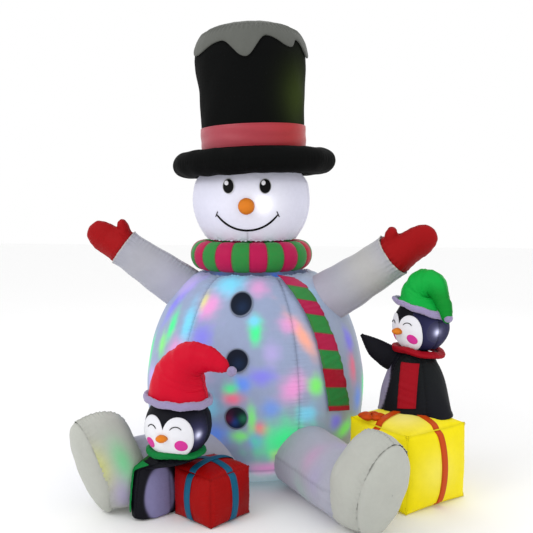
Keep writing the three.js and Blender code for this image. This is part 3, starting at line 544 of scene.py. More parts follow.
def inflate(made, cap, pressure=4.0, frames=14):
    """Blows a closed piece up as cloth under pressure, with its seams held, and applies the result."""
    rest = np.array([v.co for v in made.data.vertices])
    held = made.vertex_groups.new(name="held")
    crease = np.zeros(len(rest), np.float32)
    if "crease" in made.data.attributes:
        made.data.attributes["crease"].data.foreach_get("value", crease)
    for i in np.flatnonzero(crease > 0.55):
        held.add([int(i)], 1.0, "REPLACE")
    cloth_modifier = made.modifiers.new("blown_up", "CLOTH")
    settings = cloth_modifier.settings
    settings.use_pressure = True
    settings.uniform_pressure_force = pressure
    settings.effector_weights.gravity = 0
    settings.vertex_group_mass = "held"
    settings.quality = 5
    settings.tension_stiffness = settings.compression_stiffness = 20
    cloth_modifier.collision_settings.use_collision = False
    for number in range(1, frames + 1):
        bpy.context.scene.frame_set(number)
    shaped = made.evaluated_get(bpy.context.evaluated_depsgraph_get())
    blown = np.array([v.co for v in shaped.data.vertices])
    made.modifiers.remove(cloth_modifier)
    bpy.context.scene.frame_set(1)
    move = blown - rest
    far = np.linalg.norm(move, axis=1, keepdims=True)
    move *= cap * np.tanh(far / cap) / np.maximum(far, 1e-9)
    made.data.vertices.foreach_set("co", (rest + move).astype(np.float32).ravel())
    made.data.update()


# ---- Materials of the object --------------------------------------------------------------------
PALE = dict(sheen=0.06, gloss=0.2, depth=0.84)  # the thin pale cloth that the lamps shine through
LIT_BODY = cloth("body_cloth", "9caacb", glow=0.13, crinkle=0.45, **PALE)
LIMB = cloth("limb_cloth", "b2b3c2", glow=0.10, roughness=0.55, **PALE)
HEAD = cloth("head_cloth", "dcdcee", glow=0.16, sheen=0.06, crinkle=0.35, gloss=0.2, depth=0.86)
FOOT = cloth("foot_cloth", "bec0b8", glow=0.10, roughness=0.6, crinkle=0.6, **PALE)
BLACK = cloth("black_cloth", "0c0d0d", roughness=0.8, crinkle=1.0, gloss=0.06)
SNOW = cloth("snow_cloth", "6d6f6a", roughness=0.7, sheen=0.06, crinkle=0.7)
BAND = cloth("band_cloth", "c22232", roughness=0.4, sheen=0.08, crinkle=0.3, gloss=0.35)
STRIPES = cloth("scarf_cloth", "c81a58", glow=0.05, sheen=0.06, crinkle=0.6)
MITTEN = cloth("mitten_cloth", "b01016", roughness=0.6, crinkle=0.9)
PRINT = cloth("print_cloth", "08080a", crinkle=0.1)
BUTTON = cloth("button_cloth", "151d2e", crinkle=0.3)
NOSE = cloth("nose_cloth", "f08a28", glow=0.08, crinkle=0.3)
PENGUIN = cloth("penguin_cloth", "10101a", roughness=0.6, crinkle=0.7, gloss=0.12)
FACE = cloth("face_cloth", "f4f4fa", glow=0.20, sheen=0.06, crinkle=0.2, gloss=0.2)
CHEEK = cloth("cheek_cloth", "e83aa6", glow=0.1, roughness=0.62, sheen=0.06, crinkle=0.2, gloss=0.2)
HAT_RED = cloth("red_hat_cloth", "d8062c", glow=0.10)
HAT_GREEN = cloth("green_hat_cloth", "10b044", glow=0.14)
FLEECE = cloth("trim_fleece", "b6a8d6", roughness=0.9, sheen=0.3, crinkle=0.2, pile=0.9, gloss=0.2)
SCARF_GREEN = cloth("green_scarf_cloth", "0f8a42", roughness=0.6, crinkle=0.7)
SCARF_RED = cloth("red_scarf_cloth", "b00c20", roughness=0.6, crinkle=0.7)
GIFT_RED = cloth("red_gift_cloth", "ac0808", glow=0.04, crinkle=0.6)
GIFT_YELLOW = cloth("yellow_gift_cloth", "fbe808", glow=0.26)
RIBBON_BLUE = cloth("blue_ribbon_cloth", "14688c", roughness=0.45, crinkle=0.3, gloss=0.15)
RIBBON_ORANGE = cloth("orange_ribbon_cloth", "e05008", roughness=0.45, crinkle=0.3, gloss=0.15)
PLASTIC = hard("black_plastic", "26282c", roughness=0.5)
STEEL = hard("motor_steel", "a6a9ad", roughness=0.35, metallic=1.0, grain=900.0)
CLEAR = hard("clear_plastic", "eef4f8", roughness=0.15, transmission=0.6)
ZIP_METAL = hard("zip_metal", "a2a2a8", roughness=0.3, metallic=1.0, grain=700.0)


# ---- Body ---------------------------------------------------------------------------------------
SPREAD = 1.55  # how far each light runs out beyond its half sizes
# Coloured light on the body: azimuth, height, half width, half height, lean in degrees, colour, strength.
LIGHTS = [
    (-12, 0.764, 0.040, 0.028, 0, PALE_BLUE, 0.8), (11, 0.756, 0.026, 0.018, 0, PINK, 0.6),
    (-22, 0.687, 0.032, 0.030, 20, PINK, 0.8), (-27, 0.707, 0.012, 0.020, 0, LEMON, 0.5),
    (-54, 0.680, 0.020, 0.060, -25, VIOLET, 0.6), (-56, 0.750, 0.040, 0.030, 0, LILAC, 0.6),
    (-33, 0.613, 0.020, 0.055, 0, PALE_BLUE, 0.8), (-46, 0.598, 0.016, 0.038, 0, MINT, 0.8),
    (-51, 0.521, 0.018, 0.032, 10, LIME, 0.7), (-68, 0.465, 0.024, 0.045, 0, MINT, 0.8),
    (-21, 0.574, 0.030, 0.036, 15, VIOLET, 0.6), (-37, 0.518, 0.034, 0.030, 0, PINK, 0.7),
    (9, 0.608, 0.017, 0.030, 0, MINT, 0.9), (8, 0.643, 0.014, 0.014, 0, PALE_BLUE, 0.8),
    (35, 0.583, 0.018, 0.055, 30, PEACH, 0.8), (27, 0.625, 0.024, 0.020, 0, PINK, 0.6),
    (27, 0.399, 0.040, 0.030, 35, PINK, 0.9), (39, 0.400, 0.022, 0.024, 0, LIME, 0.8),
    (3, 0.422, 0.022, 0.020, 0, SKY, 0.7), (-3, 0.400, 0.018, 0.018, 0, MINT, 0.7),
    (12, 0.447, 0.030, 0.020, 0, VIOLET, 0.6), (-2, 0.367, 0.024, 0.016, 0, ROSE, 0.7),
    (11, 0.256, 0.022, 0.018, -30, ROSE, 0.8), (7, 0.295, 0.012, 0.030, 0, LIME, 0.7),
    (2, 0.228, 0.028, 0.014, 0, LIME, 0.7), (9, 0.209, 0.020, 0.020, 0, VIOLET, 0.7),
    (-10, 0.229, 0.030, 0.030, 0, SKY, 0.7), (22.5, 0.204, 0.072, 0.060, 20, MINT, 0.95),
    (24, 0.149, 0.030, 0.018, 0, LEMON, 0.7), (15, 0.094, 0.050, 0.020, 0, PINK, 0.7),
    (68, 0.438, 0.020, 0.040, 0, ROSE, 0.7), (69, 0.535, 0.024, 0.030, 0, VIOLET, 0.7),
    (72, 0.304, 0.030, 0.035, 0, SKY, 0.7), (86, 0.330, 0.030, 0.035, 0, MINT, 0.8),
    (60, 0.205, 0.040, 0.022, 20, LIME, 0.8), (52, 0.247, 0.020, 0.020, 0, VIOLET, 0.7),
    (-57, 0.382, 0.036, 0.036, 0, LILAC, 0.8), (-24, 0.440, 0.040, 0.030, 20, PINK, 0.6),
    (-38, 0.420, 0.030, 0.040, 0, SKY, 0.5), (-14, 0.330, 0.036, 0.030, 0, PALE_BLUE, 0.6),
    (16, 0.330, 0.024, 0.022, 0, SKY, 0.5), (17, 0.530, 0.022, 0.026, 0, LILAC, 0.5),
    (47, 0.720, 0.030, 0.030, 0, PALE_BLUE, 0.4), (34, 0.300, 0.028, 0.024, 0, PALE_BLUE, 0.7),
]


def rear_lights():
    """More of the same lights, spread over the back, which turns slowly past with the projector."""
    rng = np.random.default_rng(11)
    names = [PALE_BLUE, PINK, ROSE, LEMON, MINT, LIME, SKY, VIOLET, PEACH, LILAC]
    made = []
    for i in range(64):
        azimuth = 95 + 170 * rng.random()
        height = 0.10 + 0.65 * rng.random()
        wide, tall = rng.uniform(0.016, 0.045, 2)
        made.append((azimuth, height, wide, tall, rng.uniform(-40, 40), names[i % 10], rng.uniform(0.5, 0.9)))
    return made


def light_up(grid, azimuth, lights):
    """The tint of coloured lights on a surface of revolution."""
    tint = no_tint(grid.shape[:2])
    radius = np.hypot(grid[..., 0], grid[..., 1])
    wobble = 1 + 0.16 * rumple(grid, 0.05, 5)
    for at, height, wide, tall, lean, colour, strength in lights:
        across = np.radians(apart(azimuth, at))[None] * radius
        up = grid[..., 2] - height
        c, s = math.cos(math.radians(lean)), math.sin(math.radians(lean))
        far = np.hypot((c * across + s * up) / wide, (c * up - s * across) / tall) * wobble / SPREAD
        tint = dab(tint, min(strength * 1.25, 1.0) * np.exp(-(far ** 2.6)), colour)
    return tint


def make_body():
    grid, azimuth = turned(BODY_OUTLINE, 480, 300)
    tint = light_up(grid, azimuth, LIGHTS + rear_lights())
    height = grid[..., 2]
    # Painted light: the viewer's right side drawn paler, and a pale, glowing band along the bottom edge.
    side = np.clip(np.sin(np.radians(azimuth - 10)), 0, 1)[None] ** 2
    rim = np.clip((0.082 - height) / 0.012, 0, 1)
    under = painted(grid, (0.45 * side, "bcc4ca"), (0.85 * rim, "c4dde2"))
    light = tint[..., 3:]
    total = light + under[..., 3:] * (1 - light)
    mixed = tint[..., :3] * light + under[..., :3] * under[..., 3:] * (1 - light)
    tint = np.concatenate([mixed / np.maximum(total, 1e-9), total], -1)
    lit = 0.34 * light[..., 0] + 0.14 * rim
    grid, layers = sewn(grid, azimuth, BODY_SEAMS, scallop=0.004, pucker=0.0022, folds=0.0012, fold_size=0.16)
    ring = np.abs(height - 0.080)
    pull = np.exp(-(ring / 0.006) ** 2)
    grid = grid - normals(grid) * (0.003 * pull)[..., None]
    layers["crease"] = np.maximum(layers["crease"], np.clip(1 - ring / 0.008, 0, 1))
    grid, layers = pinched(grid, layers, 9, depth=0.006, size=0.026, low=False)
    layers["lit"] = lit
    made = piece("body", grid, LIT_BODY, ["body_shell"], layers=layers, tint=tint)
    overlap = 0.001
    cut_round_hole(made, FAN_HEIGHT, FAN_RADIUS - overlap)


def cut_round_hole(made, height, radius):
    """Cuts the round hole in the back that the fan's housing fills."""
    shape = bmesh.new()
    shape.from_mesh(made.data)
    inside = []
    for face in shape.faces:
        middle = face.calc_center_median()
        if middle.y > 0 and math.hypot(middle.x, middle.z - height) < radius:
            inside.append(face)
    bmesh.ops.delete(shape, geom=inside, context="FACES")
    shape.to_mesh(made.data)
    shape.free()


def make_base():
    share = np.linspace(1, 0, 24)
    azimuth = np.arange(192) * 360 / 192
    a = np.radians(azimuth)
    radius, gathers = 0.278, 36
    r = radius * share[:, None]
    gather = 1 + ripple(a * radius, radius * 2 * math.pi / gathers)
    gather = 0.0010 * gather * np.exp(-(1 - share[:, None]) * 6)
    grid = ringed(r, a, 0.0003 + gather)[::-1]
    piece("body_base", grid, LIT_BODY, ["base_panel"], layers=dict(crease=0.0))


def make_buttons():
    painted_light_spots = [
        ("41203c", -0.020, 0.022), ("2450a8", -0.006, -0.016), ("2f8f6a", 0.026, -0.002),
        ("7a2a50", -0.028, -0.004),
    ]
    for name, height in (("button_upper", 0.699), ("button_middle", 0.504), ("button_lower", 0.299)):
        radius, hem = 0.044, 0.0028
        edge = oval(0, height, radius, radius)
        places, _ = patch_rings(edge)
        tint = no_tint(places.shape[:2])
        # Painted light: soft spots of coloured light on the lower button, and a soft bluish glow on the other
        # two.
        if name == "button_lower":
            for colour, x, z in painted_light_spots:
                far = np.hypot(places[..., 0] - x, places[..., 1] - height - z) / 0.016
                tint = dab(tint, 0.9 * np.exp(-far ** 2), colour)
        else:
            far = np.hypot(places[..., 0] - 0.006, places[..., 1] - height + 0.012) / 0.022
            tint = dab(tint, 0.5 * np.exp(-far ** 2), "24406a")
        rim = np.hypot(places[..., 0], places[..., 1] - height) > radius - hem
        tint = dab(tint, 0.7 * rim, "a8b4cc")
        patch(name, BODY_OUTLINE, edge, BUTTON, [name], lift=0.004, tint=tint)


# ---- Scarf --------------------------------------------------------------------------------------
def make_collar():
    stripes, per = 22, 32
    columns = stripes * per
    first = 7.6
    angle = np.radians(np.linspace(-148, 148, 72))
    azimuth = first + np.arange(columns) * 360 / columns
    a = np.radians(azimuth)
    within = (np.arange(columns) % per) / per
    number = np.arange(columns) // per
    pull = 1 - np.sin(np.pi * within)
    away = np.minimum(within, 1 - within) * 2 * math.pi * 0.25 / stripes
    run = angle[:, None] * 0.055
    reach = 0.0495 - 0.0032 * pull[None] ** 2
    reach = reach + 0.0015 * ripple(run, 0.011, number[None] * 1.3) * np.exp(-away / 0.009)[None]
    hem = np.exp(-((np.abs(np.degrees(angle)) - 128) / 22) ** 2)[:, None]
    reach = reach + 0.004 * hem * ripple(a[None] * 0.2, 0.2 * 2 * math.pi / 66, 2)
    ring_radius, ring_height, stand = 0.203, 0.862, 1.2
    r = ring_radius + reach * np.cos(angle)[:, None]
    z = ring_height + reach * stand * np.sin(angle)[:, None]
    grid = ringed(r, a, z) + np.array(HEAD_PLACE)
    even = number % 2 == 0
    red = even & (np.abs(azimuth - 82) < 20)
    tint = painted(grid, (even, MAGENTA), (~even, GREEN), (0.7 * red, RED))
    layers = dict(crease=np.clip(1 - away / 0.008, 0, 1), run=run * STITCHES)
    piece("neck_scarf", grid, STRIPES, ["neck_scarf_ring"], layers=layers, tint=tint)


def make_scarf_tail():
    """The loose end: a long strip that follows the body and stands a little away from it."""
    rows, columns = 190, 40
    heights = [0.790, 0.700, 0.650, 0.580, 0.500, 0.390, 0.290]
    centres = [40.5, 44.4, 46.0, 47.8, 49.0, 50.4, 52.6]
    halves = [0.050, 0.048, 0.047, 0.048, 0.052, 0.056, 0.059]
    share = np.linspace(0, 1, rows)
    z = np.interp(share, np.linspace(0, 1, 40), spline([(h, i / 6) for i, h in enumerate(heights)], 40)[:, 0])
    centre = np.interp(-z, -np.array(heights), centres)
    half = np.interp(-z, -np.array(heights), halves)
    radius = radius_at(BODY_OUTLINE, z)
    across = np.linspace(-1, 1, columns)[None]
    slant = -0.010 * across
    azimuth = np.radians(centre[:, None] + np.degrees(half / radius)[:, None] * across)
    run = share[:, None] * 0.6
    lift = 0.006 + 0.003 * share[:, None] + 0.0022 * ripple(run, 0.085, 2) * across ** 2
    lift = lift + 0.0016 * ripple(run + 0.02 * across, 0.045, 1) + 0.002 * np.abs(across) ** 3
    r = radius[:, None] + lift
    grid = ringed(r, azimuth, z[:, None] + slant)[::-1]
    bounds = [0.755, 0.705, 0.654, 0.586, 0.523, 0.454, 0.382, 0.311]
    colours = [MAGENTA, GREEN, "c81c54", GREEN, "c81c50", "179a48", "b8102c", "159244", "c01030"]
    tint = no_tint(grid.shape[:2])
    number = np.sum(z[:, None] < np.array(bounds)[None], 1)[::-1]
    for i, colour in enumerate(colours):
        tint = dab(tint, (number == i)[:, None], colour)
    edges = np.min(np.abs(z[:, None] - np.array(bounds)[None]), 1)[::-1, None]
    hem = np.abs(1 - np.abs(across)) * 0.055
    crease = np.maximum(np.clip(1 - edges / 0.006, 0, 1), np.clip(1 - np.abs(hem - 0.006) / 0.004, 0, 0.9))
    made = piece("scarf_tail_cloth", grid, STRIPES, ["scarf_tail"], wrap=False,
                 layers=dict(crease=crease, run=across * 0.056 * 2 * math.pi / 0.006),
                 body="scarf_tail", tint=tint)
    thicken(made, 0.003)


# ---- Arms and mittens ---------------------------------------------------------------------------
def make_arm(side):
    plan = ARMS[side]
    path = bezier(plan["path"], 150)
    share = np.linspace(0, 1, 150)
    radii = plan["start"] + (plan["end"] - plan["start"]) * share + 0.003 * np.sin(math.pi * share)
    grid, angle = tube(path, radii, 128)
    grid, layers = sewn(grid, angle, (-160, 20), scallop=0.003, pucker=0.0018, folds=0.0018,
                        fold_size=0.11, seed=4)
    grid, layers = pinched(grid, layers, 7, depth=0.005, size=0.018, low=False, seed=2)
    share = share[:, None]
    rim = np.clip((share - 0.985) / 0.01, 0, 1)
    # Painted light: a yellowish cast along the forearm, stronger on the left arm, and near the shoulder a
    # pinkish cast on the left arm and a bluish one on the right.
    warm = (0.45 if side == "left" else 0.15) * np.exp(-((share - 0.8) / 0.22) ** 2)
    near = np.clip(1 - share / 0.55, 0, 1)
    near_colour = "d8b4c8" if side == "left" else "a6aacc"
    tint = painted(grid, (0.8 * rim, "d8d0c8"), (warm, "c4c2ac"), (0.40 * near, near_colour))
    piece(f"{side}_arm_cloth", grid, LIMB, [f"{side}_arm"], layers=layers, tint=tint)
    make_mitten(side, path, plan)


def joined(name, grids, voxel, smoothing):
    """One closed surface round several wrapped grids, even and smooth."""
    points, faces, start = [], [], 0
    for grid in grids:
        rows, columns = grid.shape[:2]
        index = np.arange(rows * columns).reshape(rows, columns) + start
        right = np.roll(index, -1, 1)
        faces += np.stack([index[:-1], right[:-1], right[1:], index[1:]], -1).reshape(-1, 4).tolist()
        faces += [index[0][::-1].tolist(), index[-1].tolist()]
        points += grid.reshape(-1, 3).tolist()
        start += rows * columns
    mesh = bpy.data.meshes.new(name)
    mesh.from_pydata(points, [], faces)
    made = bpy.data.objects.new(name, mesh)
    bpy.context.scene.collection.objects.link(made)
    remesh = made.modifiers.new("remesh", "REMESH")
    remesh.mode = "VOXEL"
    remesh.voxel_size = voxel
    smooth = made.modifiers.new("smooth", "SMOOTH")
    smooth.factor, smooth.iterations = 0.7, smoothing
    bpy.context.view_layer.update()
    shaped = made.evaluated_get(bpy.context.evaluated_depsgraph_get())
    even = bpy.data.meshes.new_from_object(shaped)
    made.modifiers.clear()
    made.data = even
    for face in even.polygons:
        face.use_smooth = True
    return made


def dress(made, material, replaces):
    layer = made.data.attributes.new("tint", "FLOAT_COLOR", "POINT")
    layer.data.foreach_set("color", np.zeros(len(made.data.vertices) * 4, np.float32))
    made.data.materials.clear()
    made.data.materials.append(material)
    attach(made, BODY)
    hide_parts(*replaces)


def make_mitten(side, path, plan):
    """A mitten: a flattened bag for the fingers and a small one for the thumb, blown up as one."""
    hand, sign = plan["hand"], -1 if side == "right" else 1
    along = unit(path[-1] - path[-2])
    thumb_side = unit(np.array([-sign, 0, 0]) + sign * along[0] * along)
    across = np.cross(along, thumb_side)
    frame_axes = np.stack([thumb_side, across, along])
    r = 0.069
    outline = [
        (plan["end"] + 0.005, -0.006), (plan["end"] + 0.001, hand * 0.10), (r, hand * 0.36),
        (r * 0.93, hand * 0.62), (r * 0.62, hand * 0.88), (0.001, hand - 0.002),
    ]
    palm, _ = turned(outline, 72, 60)
    flat = 1 - 0.38 * np.clip(palm[..., 2] / (hand * 0.5), 0, 1)
    palm[..., 1] *= flat
    palm[..., 0] -= 0.014 * np.clip(palm[..., 2] / (hand * 0.5), 0, 1)
    ball, _ = turned([(0.001, -0.050), (0.018, -0.038), (0.025, 0.0), (0.020, 0.035), (0.001, 0.049)], 36, 30)
    thumb = placed(ball, (0.069, 0, 0.036), tilt=32)
    bags = [bag @ frame_axes + path[-1] for bag in (palm, thumb)]
    made = joined(f"{side}_mitten_cloth", bags, 0.005, 5)
    inflate(made, 0.006)
    co = np.array([v.co for v in made.data.vertices])
    local = (co - path[-1]) @ frame_axes.T
    normal = np.array([v.normal for v in made.data.vertices])
    seam = np.exp(-(local[:, 1] / 0.004) ** 2) * (local[:, 2] > 0.01)
    cuff = np.exp(-((local[:, 2] - 0.010) / 0.008) ** 2)
    turn = np.arctan2(local[:, 1], local[:, 0])
    push = -0.0022 * seam + 0.0018 * cuff * np.sin(turn * 22)
    push += 0.0012 * np.sin(local[:, 2] / 0.0045) * np.exp(-np.abs(local[:, 1]) / 0.014) - 0.0008
    co += normal * push[:, None]
    made.data.vertices.foreach_set("co", co.astype(np.float32).ravel())
    layer = made.data.attributes.new("crease", "FLOAT", "POINT")
    layer.data.foreach_set("value", np.clip(seam + 0.5 * cuff, 0, 1).astype(np.float32))
    dress(made, MITTEN, [f"{side}_mitten"])


# ---- Legs and feet ------------------------------------------------------------------------------
def foot_line(side):
    """A foot's start and the direction that it points in."""
    plan = LEGS[side]
    a = math.radians(plan["splay"])
    along = np.array([math.sin(a), -math.cos(a), 0.0])
    start = np.array([*plan["foot"], FOOT_HEIGHT]) - along * FOOT_DEPTH * 0.62
    return start, along


def pressed(grid, band=0.045):
    """Presses what is below a band flat onto the ground."""
    lowest = grid[..., 2].min()
    z = grid[..., 2]
    grid[..., 2] = np.where(z < band, band * (z - lowest) / (band - lowest) + 0.0003, z)
    return grid


def leaning(grid, along):
    """A foot's grid with its top leaning outwards."""
    return grid + (along * FOOT_LEAN) * (grid[..., 2:] - FOOT_HEIGHT)


def make_leg(side):
    plan = LEGS[side]
    start, along = foot_line(side)
    ankle = start + along * FOOT_DEPTH * 0.24
    hip = np.array([*plan["hip"], 0.126])
    ankle[2] = 0.126
    share = np.linspace(0, 1, 130)[:, None]
    path = hip + (ankle - hip) * share
    radii = 0.1245 - 0.0125 * share[:, 0] - 0.030 * np.clip((share[:, 0] - 0.86) / 0.14, 0, 1) ** 2
    grid, angle = tube(path, radii, 128)
    grid, layers = sewn(grid, angle, (-80, 100), scallop=0.003, pucker=0.002, folds=0.002, fold_size=0.12,
                        seed=7)
    grid, layers = pinched(grid, layers, 9, depth=0.006, size=0.022, low=False, seed=5)
    tint = no_tint(grid.shape[:2])
    top = np.clip(grid[..., 2] / 0.24, 0, 1)
    # Painted light: soft spots of coloured light, fading towards the ground.
    painted_light_spots = [(0.55, 60, MINT), (0.62, 130, PINK), (0.70, -150, LILAC), (0.78, 100, LILAC)]
    for at, around, colour in painted_light_spots:
        far = np.hypot((share - at) / 0.09, (apart(angle, around) / 30)[None])
        tint = dab(tint, 0.45 * np.exp(-far ** 2) * top, colour)
    grid[..., 2] = np.maximum(grid[..., 2], 0.0008)
    piece(f"{side}_leg_cloth", grid, LIMB, [f"{side}_leg"], layers=layers, tint=tint)


def make_foot(side):
    start, along = foot_line(side)
    upper = [(0.001, 0.0), (0.072, 0.005), (0.097, 0.030), (0.104, 0.078), (0.101, 0.125), (0.092, 0.167)]
    upper = spline(upper, 110)
    sole = spline([(0.086, 0.150), (0.0925, 0.168), (0.083, 0.189), (0.054, 0.204), (0.001, 0.211)], 66)
    path = start + along * upper[:, 1:]
    grid, angle = tube(path, upper[:, 0], 168, stretch=FOOT_STRETCH)
    grid, layers = sewn(grid, angle, (0, 180), scallop=0.002, pucker=0.0022, folds=0.0024, fold_size=0.10,
                        seed=9)
    grid, layers = pinched(grid, layers, 14, depth=0.0034, size=0.017, low=False, seed=6)
    tint = no_tint(grid.shape[:2])
    # Painted light: a paler patch on the left foot, and spots of coloured light on the right one.
    if side == "left":
        far = np.hypot((upper[:, 1:] - 0.105) / 0.055, (apart(angle, -100) / 42)[None])
        tint = dab(tint, 0.75 * np.exp(-far ** 4), "b6b6cc")
    else:
        painted_light_spots = [(0.09, -100, MINT), (0.12, -60, LILAC), (0.17, -100, LEMON), (0.05, 120, LILAC)]
        for at, around, colour in painted_light_spots:
            far = np.hypot((upper[:, 1:] - at) / 0.035, (apart(angle, around) / 24)[None])
            tint = dab(tint, 0.6 * np.exp(-far ** 2), colour)
    grid = leaning(pressed(grid), along)
    piece(f"{side}_foot_cloth", grid, FOOT, [f"{side}_foot"], layers=layers, tint=tint)
    path = start + along * sole[:, 1:]
    grid, angle = tube(path, sole[:, 0], 168, stretch=FOOT_STRETCH)
    grid, layers = sewn(grid, angle, (), folds=0.0018, fold_size=0.09, seed=10)
    grid, layers = pinched(grid, layers, 12, depth=0.0015, size=0.017, high=False, seed=6)
    piece(f"{side}_sole_cloth", leaning(pressed(grid), along), FOOT, [f"{side}_sole"], layers=layers)


# ---- Head ---------------------------------------------------------------------------------------
def on_head(grid):
    return placed(grid, HEAD_PLACE, turn=HEAD_TURN)


def make_head():
    grid, azimuth = turned(HEAD_OUTLINE, 360, 120)
    x, z = grid[..., 0], grid[..., 2]
    front_half = grid[..., 1] < 0
    lamp = np.hypot(x - 0.062, z - 1.070) / 0.034
    broad = np.hypot(x - 0.01, (z - 1.08) * 1.1) / 0.17
    # Painted light: the lamp's glow and a broad, brighter middle on the front of the head.
    tint = painted(
        grid, (0.9 * np.exp(-(lamp / 2.0) ** 2) * front_half, "f8f8ff"),
        (0.45 * np.exp(-broad ** 4) * front_half, "e4e4f0"))
    lit = (0.55 * np.exp(-lamp ** 2) + 0.10 * np.exp(-broad ** 4)) * front_half
    grid, layers = sewn(grid, azimuth, (-78, 78, 180), scallop=0.003, pucker=0.0016, folds=0.0008,
                        fold_size=0.12)
    short = np.clip(1 - np.abs(azimuth) / 2.2, 0, 1)[None] * np.clip((0.965 - z) / 0.008, 0, 1)
    layers["crease"] = np.maximum(layers["crease"], short)
    grid = grid - normals(grid) * (0.0025 * short)[..., None]
    grid, layers = pinched(grid, layers, 6, depth=0.004, size=0.02)
    layers["lit"] = lit
    piece("head", on_head(grid), HEAD, ["head_shell"], layers=layers, tint=tint)
    make_face()


def make_face():
    for side, sign in (("right", -1), ("left", 1)):
        x, z = sign * 0.070, 1.139
        edge = oval(x, z, 0.0235, 0.030)
        places, _ = patch_rings(edge)
        rim = np.hypot((places[..., 0] - x) / 0.0215, (places[..., 1] - z) / 0.0275) > 1
        tint = painted(places, (rim * 1.0, "f4f4fa"))
        patch(f"{side}_eye_patch", HEAD_OUTLINE, edge, PRINT, [f"{side}_eye"],
              place=on_head, tint=tint)
        edge = oval(x - 0.007, z + 0.012, 0.0075, 0.0085, count=24)
        patch(f"{side}_eye_light", HEAD_OUTLINE, edge, FACE, lift=0.006, place=on_head)
    middle, bend, half_smile = 1.113, 0.144, math.radians(56)
    smile = arc_strip(0, middle, bend, math.degrees(half_smile), 0.008, -1)
    line_patch("mouth_line", HEAD_OUTLINE, smile, PRINT, ["mouth"], place=on_head)
    for name, sign in (("mouth_end_right", -1), ("mouth_end_left", 1)):
        x, z = sign * bend * math.sin(half_smile), middle - bend * math.cos(half_smile)
        along, across = np.meshgrid(np.linspace(-1, 1, 9), [-1, 0, 1])
        tick = np.stack([x - sign * 0.0045 * along + 0.0022 * across, z + 0.0105 * along], -1)
        line_patch(name, HEAD_OUTLINE, tick, PRINT, place=on_head)
    ball, azimuth = turned(circle(0.033), 96, 60)
    ball, layers = sewn(ball, azimuth, (-90, 90, 180), scallop=0.0004, pucker=0.0006, size=0.008,
                        spread=0.008)
    # Painted shade: the nose drawn darker except at its tip, most towards the head.
    tint = painted(ball, (np.clip(ball[..., 1] / 0.034 + 0.7, 0, 1), "b86012"))
    ball = ball * np.array([1, 1.03, 1]) + np.array([0, -0.245 - 0.0085, 1.063])
    made = piece("nose_ball", on_head(ball), NOSE, ["nose"], layers=layers, tint=tint)


# ---- Hat ----------------------------------------------------------------------------------------
def on_hat(grid):
    return placed(grid, HAT_PLACE, tilt=HAT_TILT)


def make_hat():
    grid, azimuth = turned(CROWN_OUTLINE, 400, 220)
    grid, layers = sewn(grid, azimuth, (-120, 120), scallop=0.003, pucker=0.0016, folds=0.0022,
                        fold_size=0.13, seed=12)
    # Painted light: a soft patch of green light on the crown's right side.
    green = np.exp(-(apart(azimuth, 66) / 22) ** 2)[None]
    green = green * np.exp(-((grid[..., 2] - 0.25) / 0.12) ** 2)
    tint = painted(grid, (0.85 * green, "3c4a1c"))
    piece("hat_crown_cloth", on_hat(grid), BLACK, ["hat_crown"], layers=layers, tint=tint)
    make_brim()
    make_band()
    make_snow()


def make_brim():
    angle = np.radians(np.linspace(-150, 150, 64))[:, None]
    azimuth = np.arange(432) * 360 / 432
    a = np.radians(azimuth)
    flute = np.clip(ripple(a * 0.3, 0.3 * 2 * math.pi / 40, 3), -1, 1)[None]
    inner = np.exp(-((np.abs(np.degrees(angle)) - 140) / 26) ** 2)
    outer = np.exp(-(angle / 0.35) ** 2)
    reach = 0.060 - 0.0035 * inner * (1 + flute) - 0.0010 * outer * (1 + ripple(a * 0.33, 0.019, 1)[None])
    r = 0.274 + reach * np.cos(angle)
    z = 0.85 * reach * np.sin(angle)
    grid = ringed(r, a, z)
    grid = grid + normals(grid) * (0.0018 * rumple(grid, 0.10, 13))[..., None]
    crease = np.clip(1 - np.abs(angle) * 0.06 / 0.006, 0, 1)
    piece("hat_brim_cloth", on_hat(grid), BLACK, ["hat_brim"],
          layers=dict(crease=crease, run=a * 0.33 * STITCHES))


def make_band():
    share = np.linspace(0, 1, 34)[:, None]
    azimuth = np.arange(360) - 180.0
    a = np.radians(azimuth)
    low, tall = 0.058, 0.086
    z = low + tall * share
    puff = 0.0020 + 0.0016 * (1 - (2 * share - 1) ** 4)
    fold = 0.0010 * np.sin(2 * math.pi * 1.5 * share + 1.5 * np.sin(3 * a)[None]) * np.sin(math.pi * share)
    r = radius_at(CROWN_OUTLINE, z) + puff + fold
    grid = ringed(r, a, z)
    sideways = np.where(np.abs(azimuth) > 90, np.sign(azimuth) * 180 - azimuth, azimuth)
    # Painted light on the satin: a pale pinkish sheen towards the viewer's left and a brighter red towards
    # the right.
    painted_sheen, bright = np.clip(0.45 - sideways / 120, 0, 0.9), np.clip((sideways - 20) / 60, 0, 0.9)
    tint = painted(grid, (painted_sheen, "c45464"), (bright, "cc1210"))
    hem = np.minimum(share, 1 - share) * tall
    layers = dict(crease=np.clip(1 - np.abs(hem - 0.005) / 0.004, 0, 0.8), run=a * 190)
    piece("hat_band_cloth", on_hat(grid), BAND, ["hat_band"], layers=layers, tint=tint)


